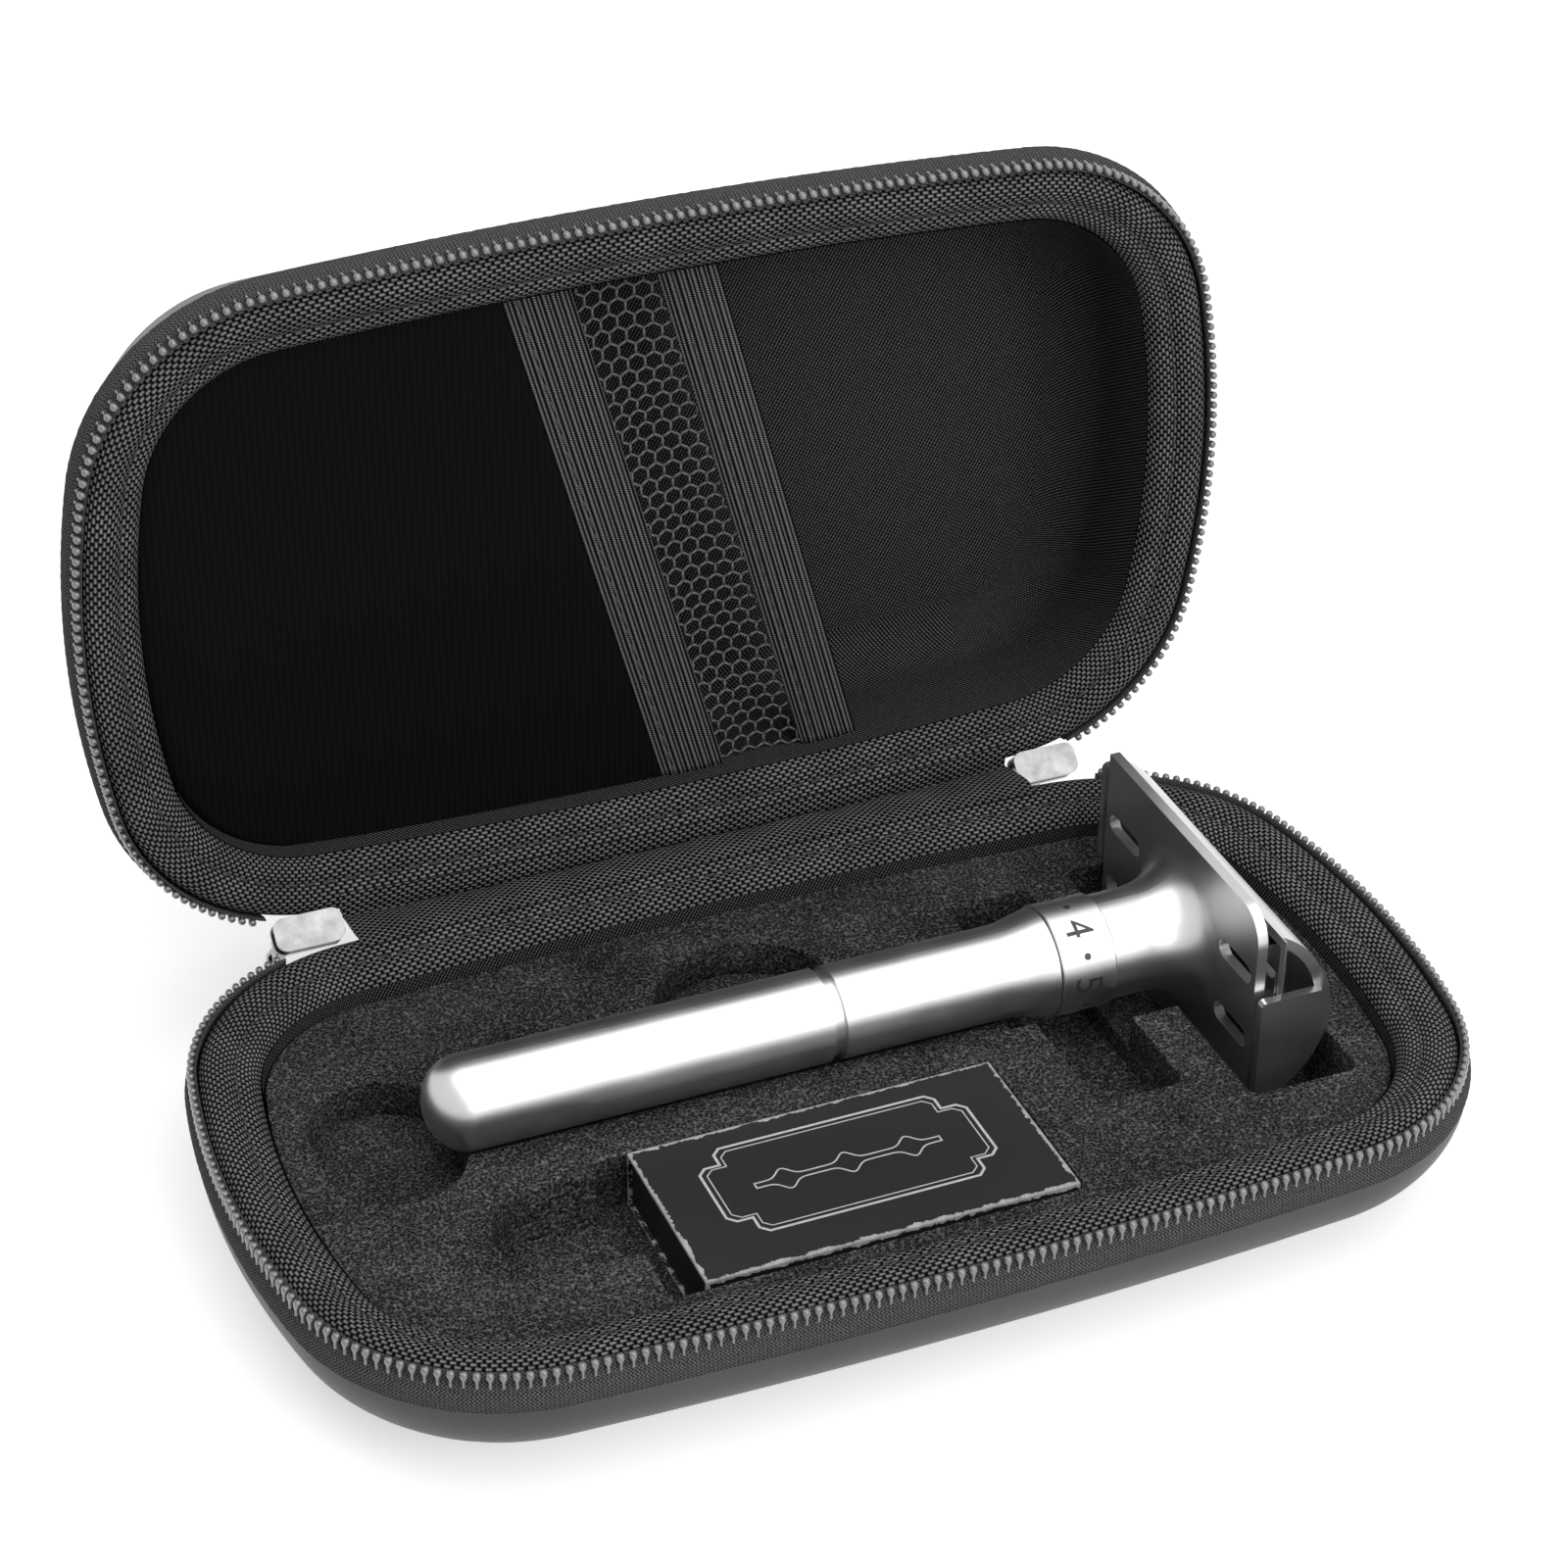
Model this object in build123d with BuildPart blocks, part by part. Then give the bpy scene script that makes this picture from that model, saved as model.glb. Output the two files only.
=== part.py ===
from build123d import *
import math
import os

# Razor travel case: two zipped hard shells hinged along the back, a fitted foam insert,
# and the razor and blade box that it carries. Millimetres, +Z up, +X along the case, +Y to the hinge.
# The origin is the middle of the flat underside of the base.

# Mouth of both shells, measured to the row of zip teeth
CASE_LENGTH = 156.0
CASE_WIDTH = 92.0
LONG_SIDE_BOW = 3.0
SHORT_SIDE_BOW = 8.4
CORNER_R = 27.4

# Shell walls: depths are from the mouth plane to the outside of the floor
BASE_DEPTH = 20.0
LID_DEPTH = 25.0
RIM_WIDTH = 8.0
SHELL_PROUD = 0.8
FOOT_CORNER_R = 4.2
LID_SIDE_LEAN = 25.0
LID_CORNER_R = 9.0
FLOOR_T = 2.0
INNER_R = 7.0
WALL_TOP = 3.5
TAPE_SEAT = 0.2
TAPE_END = 5.4
LINING_T = 0.5
LINING_TOP = 1.4

# Padded rim and zip
RIM_CREST = 0.25
RIM_OUTER = 1.0
RIM_GAP = 0.1
TAPE_TOP = 2.2
TAPE_BULGE = 1.1
TOOTH_SET = 0.15
TOOTH_LENGTH = TAPE_TOP - TOOTH_SET
TOOTH_HEAD_W = 0.68
TOOTH_HEAD_T = 1.1
TOOTH_DRAFT = 2.2
TOOTH_PITCH = 1.48
ZIP_END_X = 58.0

# Hinge: the fabric bends on this line, and the lid stands open in the photographed pose
HINGE_OUT = 0.4
HINGE_DROP = 4.1
LID_OPEN = 91.5
LEAF_HALF_LENGTH = 38.0
LEAF_T = 0.5
LEAF_GAP = 0.3

# Sliders and pulls
SLIDER_X = 53.0
SLIDER_LENGTH = 9.2
SLIDER_WIDTH = 4.4
SLIDER_PLATE_T = 0.6
SLIDER_MOUTH = 2.0
SLIDER_OUT = 3.2
SLIDER_DROP = 0.7
SLIDER_LIP = 0.6
BRIDGE_H = 1.9
BRIDGE_WIDTH = 0.8
BRIDGE_T = 0.7
PULL_X = 55.2
PULL_LENGTH = 16.0
PULL_LOOP = 8.0
PULL_WIDTH = 2.2
PULL_T = 0.8
PULL_CLEARANCE = 0.2

# Foam insert, two glued layers
FOAM_DROP = 5.2
FOAM_UPPER_T = 5.0
FOAM_GAP = 0.3
FOAM_BEND_R = 6.5
POCKET_CORNER_R = 1.5
THUMB_HOLE = (-55.8, 7.4, 24.3, 17.5)
ROUND_HOLE = (-3.5, 17.9, 12.4)
SLOT_LEFT = 28.2
SLOT_RIGHT = 40.0
SLOT_FRONT = -18.6
SLOT_BACK = 26.8
SLOT_DEPTH = 8.0
TAB_END = -4.0
HEAD_POCKET_LEFT = 46.6
HEAD_POCKET_FRONT = -24.3
BOX_POCKET_LEFT = -34.3
FINGER_LEFT = -50.0
FINGER_FRONT = -23.6
FINGER_BACK = -8.0
FINGER_DEPTH = 8.0

# Razor, along X: distances are from the middle of the case
RAZOR_Y = 5.4
RAZOR_ABOVE_FOAM = 4.8
GRIP_R = 6.05
GRIP_START = -51.6
GRIP_DOME = 5.2
GRIP_END = 0.4
GRIP_BORE = 22.0
GROOVE_W = 1.6
GROOVE_R = 5.45
SHOULDER_START = 25.0
DIAL_START = 31.2
DIAL_R = 7.35
DIAL_LENGTH = 7.6
DIAL_GAP = 0.15
NECK_R = 6.9
FLARE_START = 44.2
FLARE_R = 11.4
PLATE_X = 51.0
PLATE_T = 1.4
PLATE_LENGTH = 41.2
HEAD_WIDTH = 29.0
HEAD_CORNER_R = 4.5
DRAIN_SLOT = (8.4, 2.7)
DRAIN_Y = 15.3
DRAIN_Z = 4.9
CORE_R = 4.5
SCREW_R = 2.2
RUNNING_FIT = 0.08
BLADE_LENGTH = 42.6
BLADE_WIDTH = 22.4
BLADE_TAB_WIDTH = 13.0
BLADE_TAB = 3.4
BLADE_T = 0.2
BLADE_GAP = 1.05
CAP_TOP = 61.0
CAP_HALF_WIDTH = 11.9
CAP_LENGTH = 45.4
CAP_END_T = 1.2
CAP_WALL = 1.5
CAP_SEAT = 6.0
WING_TOP = 3.0
WING_LAP = 1.3
CAP_TRAVEL = 0.4
RAZOR_CLEARANCE = 0.35

# Blade box
BOX_LENGTH = 48.6
BOX_WIDTH = 26.0
BOX_HEIGHT = 8.0
BOX_X = -5.5
BOX_Y = -19.2
BOX_PROUD = 0.5
CARD_T = 0.5
CARD_GAP = 0.15
BOX_CLEARANCE = 0.5
BLADE_PACK_T = 0.95
BLADE_PACKS = 5

# Lid pocket: the bands lean as the photograph shows
POCKET_DEPTH = 6.1
POCKET_LEAN = 15.0
PANEL_EDGE = -10.4
BAND_1_EDGE = -1.6
NET_EDGE = 10.2
BAND_2_EDGE = 18.1
BAND_T = 1.1
PANEL_T = 0.8
NET_T = 0.5
NET_PITCH = 2.4
NET_STRAND = 0.5
SEAM_GAP = 0.1

SIDE_CURVE = CORNER_R + SHELL_PROUD - FOOT_CORNER_R
MOUTH_Z = BASE_DEPTH
FOAM_TOP = MOUTH_Z - FOAM_DROP
RAZOR_Z = FOAM_TOP + RAZOR_ABOVE_FOAM
BLADE_X = PLATE_X + PLATE_T + BLADE_GAP
HINGE_Y = CASE_WIDTH / 2 + HINGE_OUT
HINGE_Z = MOUTH_Z - HINGE_DROP

os.makedirs("parts", exist_ok=True)


def save(piece, name):
    piece.part.label = name
    export_step(piece.part, "parts/" + name + ".step")


def swing(y, z, angle):
    """Turn a point of the closed case open by an angle about the hinge line."""
    turn = math.radians(angle)
    dy = y - HINGE_Y
    dz = z - HINGE_Z
    new_y = HINGE_Y + dy * math.cos(turn) + dz * math.sin(turn)
    new_z = HINGE_Z - dy * math.sin(turn) + dz * math.cos(turn)
    return new_y, new_z


def opened_plane(x, y, z, angle):
    """A plane whose x is the case's X and whose normal was +Z when closed."""
    new_y, new_z = swing(y, z, angle)
    turn = math.radians(angle)
    return Plane((x, new_y, new_z), x_dir=(1, 0, 0), z_dir=(0, math.sin(turn), math.cos(turn)))


# Mouth planes: the normal of each points into the depth of its shell
base_mouth = Plane((0, 0, MOUTH_Z), x_dir=(1, 0, 0), z_dir=(0, 0, -1))
lid_mouth = opened_plane(0, 0, MOUTH_Z, LID_OPEN)


def bow_radius(half_chord, bow):
    return (half_chord**2 + bow**2) / (2 * bow)


def mouth_face(inset=0.0):
    """The rounded outline of the mouth, drawn in by an inset."""
    half_length = CASE_LENGTH / 2
    half_width = CASE_WIDTH / 2
    long_r = bow_radius(half_length - SHORT_SIDE_BOW, LONG_SIDE_BOW)
    short_r = bow_radius(half_width - LONG_SIDE_BOW, SHORT_SIDE_BOW)
    with BuildSketch() as face:
        with Locations((0, half_width - long_r)):
            Circle(long_r - inset)
        with Locations((0, long_r - half_width)):
            Circle(long_r - inset, mode=Mode.INTERSECT)
        for side in (-1, 1):
            with Locations((side * (half_length - short_r), 0)):
                Circle(short_r - inset, mode=Mode.INTERSECT)
        fillet(face.vertices(), CORNER_R - inset)
    return face.sketch


MOUTH_LINE = mouth_face().face().outer_wire()


def rim_plane(mouth):
    """A plane across the rim: x points out of the case, y into its depth."""
    path = mouth * MOUTH_LINE
    outward = (path % 0).cross(mouth.z_dir)
    if outward.dot((path @ 0) - mouth.origin) < 0:
        outward = outward * -1
    return Plane(path @ 0, x_dir=outward, z_dir=outward.cross(mouth.z_dir))


def make_shell(mouth, depth, lean=0.0):
    """Hard shell: a thick moulded wall swept round the mouth, and a floor.

    The base's side is a quarter ellipse. The lid's side leans in and rounds into its floor.
    """
    floor_in = depth - FLOOR_T
    slope = math.radians(lean)
    foot_x = SHELL_PROUD - (depth - TAPE_END) * math.tan(slope)
    reach = LID_CORNER_R * math.tan((math.pi / 2 - slope) / 2)
    curve_x = foot_x - reach if lean else SHELL_PROUD - SIDE_CURVE
    floor_x = min(curve_x, -RIM_WIDTH - INNER_R) - 1
    with BuildPart() as shell:
        with BuildSketch(rim_plane(mouth)):
            with BuildLine():
                if lean:
                    slope_end = (foot_x + reach * math.sin(slope), depth - reach * math.cos(slope))
                    Line((SHELL_PROUD, TAPE_END), slope_end)
                    TangentArc(
                        slope_end, (curve_x, depth), tangent=(-math.sin(slope), math.cos(slope))
                    )
                else:
                    middle = (curve_x, TAPE_END)
                    EllipticalCenterArc(middle, SIDE_CURVE, depth - TAPE_END, 0, arc_size=90)
                Polyline((curve_x, depth), (floor_x, depth), (floor_x, floor_in))
                Line((floor_x, floor_in), (-RIM_WIDTH - INNER_R, floor_in))
                CenterArc((-RIM_WIDTH - INNER_R, floor_in - INNER_R), INNER_R, 0, 90)
                Polyline(
                    (-RIM_WIDTH, floor_in - INNER_R),
                    (-RIM_WIDTH, WALL_TOP),
                    (-TAPE_SEAT, WALL_TOP),
                    (-TAPE_SEAT, TAPE_END),
                    (SHELL_PROUD, TAPE_END),
                )
            make_face()
        sweep(path=mouth * MOUTH_LINE)
        with BuildSketch(mouth.offset(floor_in)):
            add(mouth_face(-floor_x))
        extrude(amount=FLOOR_T)
    return shell


def make_lining(mouth, depth):
    """Fabric lining: a hemmed wall inside the rim, a rounded corner and a floor."""
    floor_in = depth - FLOOR_T
    bend = (-RIM_WIDTH - INNER_R, floor_in - INNER_R)
    with BuildPart() as lining:
        with BuildSketch(rim_plane(mouth)):
            with BuildLine():
                CenterArc(bend, INNER_R, 0, 90)
                Line((bend[0], floor_in), (bend[0], floor_in - LINING_T))
                CenterArc(bend, INNER_R - LINING_T, 0, 90)
                Polyline(
                    (-RIM_WIDTH - LINING_T, bend[1]),
                    (-RIM_WIDTH - LINING_T, LINING_TOP),
                    (-RIM_WIDTH, LINING_TOP),
                    (-RIM_WIDTH, bend[1]),
                )
            make_face()
        sweep(path=mouth * MOUTH_LINE)
        with BuildSketch(mouth.offset(floor_in - LINING_T)):
            add(mouth_face(-bend[0]))
        extrude(amount=LINING_T)
    return lining


def make_rim(mouth):
    """Padded fabric roll on top of the shell wall."""
    inner = RIM_WIDTH - RIM_GAP
    with BuildPart() as rim:
        with BuildSketch(rim_plane(mouth)):
            with BuildLine():
                crown = EllipticalCenterArc(
                    (-(inner + RIM_OUTER) / 2, WALL_TOP),
                    (inner - RIM_OUTER) / 2,
                    WALL_TOP - RIM_CREST,
                    180,
                    arc_size=180,
                )
                Line(crown @ 1, crown @ 0)
            make_face()
        sweep(path=mouth * MOUTH_LINE)
    return rim


def hinge_side(mouth):
    """+1 where the plane's y points to the hinge, -1 where it points away."""
    return 1 if mouth.y_dir.dot(Vector(0, 1, 0)) + mouth.y_dir.dot(Vector(0, 0, -1)) > 0 else -1


def make_tape(mouth):
    """Woven zip tape round three sides, in the seat outside the shell wall."""
    back_y = hinge_side(mouth) * CASE_WIDTH / 2
    with BuildPart() as tape:
        with BuildSketch(rim_plane(mouth)):
            with BuildLine():
                Polyline((TAPE_SEAT, TAPE_TOP), (-TAPE_SEAT, TAPE_TOP), (-TAPE_SEAT, TAPE_END))
                Line((-TAPE_SEAT, TAPE_END), (SHELL_PROUD, TAPE_END))
                ThreePointArc(
                    (SHELL_PROUD, TAPE_END),
                    (TAPE_BULGE, (TAPE_TOP + TAPE_END) / 2),
                    (TAPE_SEAT, TAPE_TOP),
                )
            make_face()
        sweep(path=mouth * MOUTH_LINE)
        with BuildSketch(mouth.offset(TAPE_TOP - 1)):
            with Locations((0, back_y)):
                Rectangle(2 * ZIP_END_X, CASE_WIDTH / 2)
        extrude(amount=TAPE_END, mode=Mode.SUBTRACT)
    return tape


def make_teeth(mouth, shift):
    """Row of wedge teeth on the tape's edge; the two rows stand half a pitch apart."""
    count = round(MOUTH_LINE.length / TOOTH_PITCH)
    side = hinge_side(mouth)
    with BuildPart() as teeth:
        spots = []
        for number in range(count):
            share = (number + shift) / count
            point = MOUTH_LINE @ share
            tangent = MOUTH_LINE % share
            if point.Y > 0 and abs(point.X) < ZIP_END_X + 1:
                continue
            turn = math.degrees(math.atan2(tangent.Y, tangent.X))
            spots.append(Location((point.X, side * point.Y, 0), (0, 0, side * turn)))
        with BuildSketch(mouth.offset(TOOTH_SET)):
            with Locations(*spots):
                Rectangle(TOOTH_HEAD_W, TOOTH_HEAD_T)
        extrude(amount=TOOTH_LENGTH, taper=TOOTH_DRAFT)
    return teeth



def hinge_block(mouth):
    """The stretch of the mouth along the middle of the hinge, as a sketch."""
    with BuildSketch(mouth.offset(-CASE_WIDTH)) as block:
        with Locations((0, hinge_side(mouth) * CASE_WIDTH / 2)):
            Rectangle(2 * LEAF_HALF_LENGTH, CASE_WIDTH / 2)
    return block.sketch


base_shell = make_shell(base_mouth, BASE_DEPTH)
base_lining = make_lining(base_mouth, BASE_DEPTH)
base_rim = make_rim(base_mouth)
base_zip_tape = make_tape(base_mouth)
base_zip_teeth = make_teeth(base_mouth, 0.0)
lid_shell = make_shell(lid_mouth, LID_DEPTH, LID_SIDE_LEAN)
lid_lining = make_lining(lid_mouth, LID_DEPTH)
lid_rim = make_rim(lid_mouth)
lid_zip_tape = make_tape(lid_mouth)
lid_zip_teeth = make_teeth(lid_mouth, 0.5)

# Hinge tape: the base half fills the seat, the lid half reaches the line that it bends on
with BuildPart() as base_hinge_leaf:
    with BuildSketch(rim_plane(base_mouth)):
        with BuildLine():
            Polyline(
                (-TAPE_SEAT, TAPE_END),
                (-TAPE_SEAT, HINGE_DROP + LEAF_T / 2 + 0.1),
                (TAPE_SEAT, HINGE_DROP + LEAF_T / 2 + 0.1),
                (SHELL_PROUD - 0.1, TAPE_END),
                close=True,
            )
        make_face()
    sweep(path=base_mouth * MOUTH_LINE)
    extrude(hinge_block(base_mouth), amount=2 * CASE_WIDTH, mode=Mode.INTERSECT)

with BuildPart() as lid_hinge_leaf:
    with BuildSketch(rim_plane(lid_mouth)):
        with BuildLine():
            Polyline(
                (-TAPE_SEAT, TAPE_END),
                (-TAPE_SEAT, WALL_TOP + 0.1),
                (HINGE_OUT - LEAF_T / 2, WALL_TOP + 0.1),
                (HINGE_OUT - LEAF_T / 2, LEAF_GAP - HINGE_DROP),
                (HINGE_OUT + LEAF_T / 2, LEAF_GAP - HINGE_DROP),
                (HINGE_OUT + LEAF_T / 2, WALL_TOP),
                (SHELL_PROUD, TAPE_END),
                close=True,
            )
        make_face()
    sweep(path=lid_mouth * MOUTH_LINE)
    extrude(hinge_block(lid_mouth), amount=2 * CASE_WIDTH, mode=Mode.INTERSECT)

# Foam insert: the upper layer is cut right through, the lower one only part of the way
foam_bottom = FLOOR_T + LINING_T
foam_joint = FOAM_TOP - FOAM_UPPER_T
foam_inset = RIM_WIDTH + LINING_T + FOAM_GAP
slot_middle = ((SLOT_LEFT + SLOT_RIGHT) / 2, (SLOT_FRONT + SLOT_BACK) / 2)
head_right = CAP_TOP + CAP_TRAVEL + RAZOR_CLEARANCE
head_back = RAZOR_Y + CAP_LENGTH / 2 + RAZOR_CLEARANCE
head_floor = RAZOR_Z - HEAD_WIDTH / 2 - RAZOR_CLEARANCE
box_floor = FOAM_TOP + BOX_PROUD - BOX_HEIGHT
box_right = BOX_X + BOX_LENGTH / 2 + BOX_CLEARANCE
box_front = BOX_Y - BOX_WIDTH / 2 - BOX_CLEARANCE
box_back = BOX_Y + BOX_WIDTH / 2 + BOX_CLEARANCE


def corner_box(left, right, front, back):
    """Rectangle with rounded corners between four edges, on the active sketch."""
    with BuildSketch() as box:
        with Locations(((left + right) / 2, (front + back) / 2)):
            RectangleRounded(right - left, back - front, POCKET_CORNER_R)
    return box.sketch


def head_pocket():
    return corner_box(HEAD_POCKET_LEFT, head_right, HEAD_POCKET_FRONT, head_back)


def box_pocket():
    return corner_box(BOX_POCKET_LEFT, box_right, box_front, box_back)


def finger_pocket():
    """Round-ended slot beside the blade box, running into the box's own pocket."""
    width = FINGER_BACK - FINGER_FRONT
    length = BOX_POCKET_LEFT + POCKET_CORNER_R * 2 - FINGER_LEFT
    with BuildSketch() as slot:
        with Locations((FINGER_LEFT + length / 2, (FINGER_FRONT + FINGER_BACK) / 2)):
            Rectangle(length, width)
        fillet(slot.vertices().group_by(Axis.X)[0], width / 2 - 0.05)
    return slot.sketch


def dial_slot():
    return corner_box(SLOT_LEFT, SLOT_RIGHT, SLOT_FRONT, SLOT_BACK)


razor_line = Axis((0, RAZOR_Y, RAZOR_Z), (1, 0, 0))
razor_side = Plane((0, RAZOR_Y, RAZOR_Z), x_dir=(1, 0, 0), z_dir=(0, -1, 0))


def razor_face(x):
    """Plane across the razor: local x is the case's Y, local y is up."""
    return Plane((x, RAZOR_Y, RAZOR_Z), x_dir=(0, 1, 0), z_dir=(1, 0, 0))


with BuildPart() as foam_upper:
    with BuildSketch(Plane.XY.offset(foam_joint)):
        add(mouth_face(foam_inset))
    extrude(amount=FOAM_UPPER_T)
    with BuildSketch(Plane.XY.offset(foam_joint - 1)):
        with Locations(THUMB_HOLE[:2]):
            SlotOverall(THUMB_HOLE[2], THUMB_HOLE[3], rotation=90)
        with Locations(ROUND_HOLE[:2]):
            Circle(ROUND_HOLE[2])
        add(head_pocket())
        add(box_pocket())
        add(finger_pocket())
        add(dial_slot())
        neck_half = RAZOR_Y - TAB_END
        with Locations(((SLOT_RIGHT + HEAD_POCKET_LEFT) / 2, RAZOR_Y)):
            Rectangle(HEAD_POCKET_LEFT - SLOT_RIGHT + 2, 2 * neck_half)
    extrude(amount=FOAM_UPPER_T + 2, mode=Mode.SUBTRACT)
    with BuildSketch(razor_face(GRIP_START - RAZOR_CLEARANCE)):
        Circle(GRIP_R + RAZOR_CLEARANCE)
    extrude(amount=DIAL_START - GRIP_START, mode=Mode.SUBTRACT)
    with BuildSketch(razor_face(SHOULDER_START - 0.5)):
        Circle(DIAL_R + RAZOR_CLEARANCE)
    extrude(amount=HEAD_POCKET_LEFT - SHOULDER_START + 1, mode=Mode.SUBTRACT)

with BuildPart() as foam_lower:
    with BuildSketch(Plane.XY.offset(foam_bottom)):
        add(mouth_face(foam_inset))
    extrude(amount=foam_joint - foam_bottom)
    fillet(foam_lower.faces().sort_by(Axis.Z)[0].edges(), FOAM_BEND_R)
    with BuildSketch(Plane.XY.offset(FOAM_TOP - SLOT_DEPTH)):
        add(dial_slot())
        add(finger_pocket())
    extrude(amount=SLOT_DEPTH, mode=Mode.SUBTRACT)
    with BuildSketch(Plane.XY.offset(box_floor)):
        add(box_pocket())
    extrude(amount=FOAM_UPPER_T, mode=Mode.SUBTRACT)
    with BuildSketch(Plane.XY.offset(head_floor)):
        add(head_pocket())
    extrude(amount=2 * FOAM_UPPER_T, mode=Mode.SUBTRACT)

# Razor handle: a grip screwed on to the upper handle, with a groove between them
with BuildPart() as razor_grip:
    with BuildSketch(razor_side):
        with BuildLine():
            dome_middle = (GRIP_START + GRIP_DOME, 0)
            dome = EllipticalCenterArc(dome_middle, GRIP_DOME, GRIP_R, 180, arc_size=-90)
            Polyline(dome @ 1, (GRIP_END, GRIP_R), (GRIP_END, CORE_R), (GRIP_END - GRIP_BORE, CORE_R))
            Polyline((GRIP_END - GRIP_BORE, CORE_R), (GRIP_END - GRIP_BORE, 0), dome @ 0)
        make_face()
    revolve(axis=razor_line)

upper_start = GRIP_END + GROOVE_W
with BuildPart() as razor_upper_handle:
    with BuildSketch(razor_side):
        with BuildLine():
            flare = Spline(
                (SHOULDER_START, GRIP_R),
                (DIAL_START - DIAL_GAP, DIAL_R - 0.25),
                tangents=((1, 0), (1, 0.12)),
            )
            Polyline(
                flare @ 1,
                (DIAL_START - DIAL_GAP, CORE_R),
                (GRIP_END, CORE_R),
                (GRIP_END, GROOVE_R),
                (upper_start, GROOVE_R),
                (upper_start, GRIP_R),
                flare @ 0,
            )
        make_face()
    revolve(axis=razor_line)

dial_end = DIAL_START + DIAL_LENGTH
core_end = FLARE_START + 1
with BuildPart() as razor_core:
    with BuildSketch(razor_face(GRIP_END - GRIP_BORE + 4)):
        Circle(CORE_R)
    extrude(amount=core_end - GRIP_END + GRIP_BORE - 4)
    with BuildSketch(razor_face(upper_start + 4)):
        Circle(SCREW_R + RUNNING_FIT)
    extrude(amount=core_end, mode=Mode.SUBTRACT)

with BuildPart() as razor_dial:
    with BuildSketch(razor_face(DIAL_START)):
        Circle(DIAL_R)
        Circle(CORE_R + RUNNING_FIT, mode=Mode.SUBTRACT)
    extrude(amount=DIAL_LENGTH)
    chamfer(razor_dial.edges().filter_by(GeomType.CIRCLE).sort_by(SortBy.RADIUS)[-2:], 0.15)

# Razor head: guard plate with a flared neck, the blade, and the cap on its screw
with BuildPart() as razor_guard:
    with BuildSketch(razor_face(PLATE_X)) as plate_sketch:
        Rectangle(PLATE_LENGTH, HEAD_WIDTH)
        rounded = plate_sketch.vertices().group_by(Axis.Y)
        fillet([rounded[-1].sort_by(Axis.Z)[-1], rounded[0].sort_by(Axis.Z)[0]], HEAD_CORNER_R)
        with Locations(*[(y, z) for y in (-DRAIN_Y, DRAIN_Y) for z in (-DRAIN_Z, DRAIN_Z)]):
            SlotOverall(*DRAIN_SLOT, mode=Mode.SUBTRACT)
    extrude(amount=PLATE_T)
    with BuildSketch(razor_side):
        with BuildLine():
            bend_r = FLARE_R - NECK_R
            bend = EllipticalCenterArc(
                (FLARE_START, FLARE_R), PLATE_X - FLARE_START, bend_r, 270, arc_size=90
            )
            Polyline(
                bend @ 1,
                (PLATE_X + PLATE_T, FLARE_R),
                (PLATE_X + PLATE_T, SCREW_R + RUNNING_FIT),
                (core_end, SCREW_R + RUNNING_FIT),
                (core_end, CORE_R),
                (dial_end + DIAL_GAP, CORE_R),
                (dial_end + DIAL_GAP, NECK_R),
                bend @ 0,
            )
        make_face()
    revolve(axis=razor_line)
    with BuildSketch(razor_face(PLATE_X - 1)):
        Circle(SCREW_R + RUNNING_FIT)
    extrude(amount=PLATE_T + 2, mode=Mode.SUBTRACT)

with BuildPart() as razor_blade:
    with BuildSketch(razor_face(BLADE_X)):
        Rectangle(BLADE_LENGTH, BLADE_WIDTH)
        corner_cut = (BLADE_WIDTH - BLADE_TAB_WIDTH) / 2
        with GridLocations(BLADE_LENGTH, BLADE_WIDTH, 2, 2):
            Rectangle(2 * BLADE_TAB, 2 * corner_cut, mode=Mode.SUBTRACT)
        SlotOverall(34, 2.2, mode=Mode.SUBTRACT)
        Circle(SCREW_R + 0.5, mode=Mode.SUBTRACT)
        with Locations((-13, 0), (13, 0)):
            Circle(2.0, mode=Mode.SUBTRACT)
    extrude(amount=BLADE_T)

cap_x = BLADE_X + BLADE_T
cap_half = CAP_LENGTH / 2


def dome_face(wall=0.0):
    """Cross-section of the cap's dome, drawn in by a wall thickness."""
    half = CAP_HALF_WIDTH - wall
    with BuildSketch() as dome:
        with BuildLine():
            crown = ThreePointArc((cap_x, half), (CAP_TOP - wall, 0), (cap_x, -half))
            Line(crown @ 1, crown @ 0)
        make_face()
    return dome.sketch


def wing_face(top):
    """One end of the cap: the half that wraps past the blade, on the active sketch."""
    low = -CAP_HALF_WIDTH if top > 0 else top
    high = top if top > 0 else CAP_HALF_WIDTH
    with BuildSketch() as wing:
        with Locations((cap_x - WING_LAP, (low + high) / 2)):
            Rectangle(2 * WING_LAP, high - low)
        fillet(wing.vertices().group_by(Axis.X)[0], WING_LAP * 0.6)
    return wing.sketch


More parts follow.
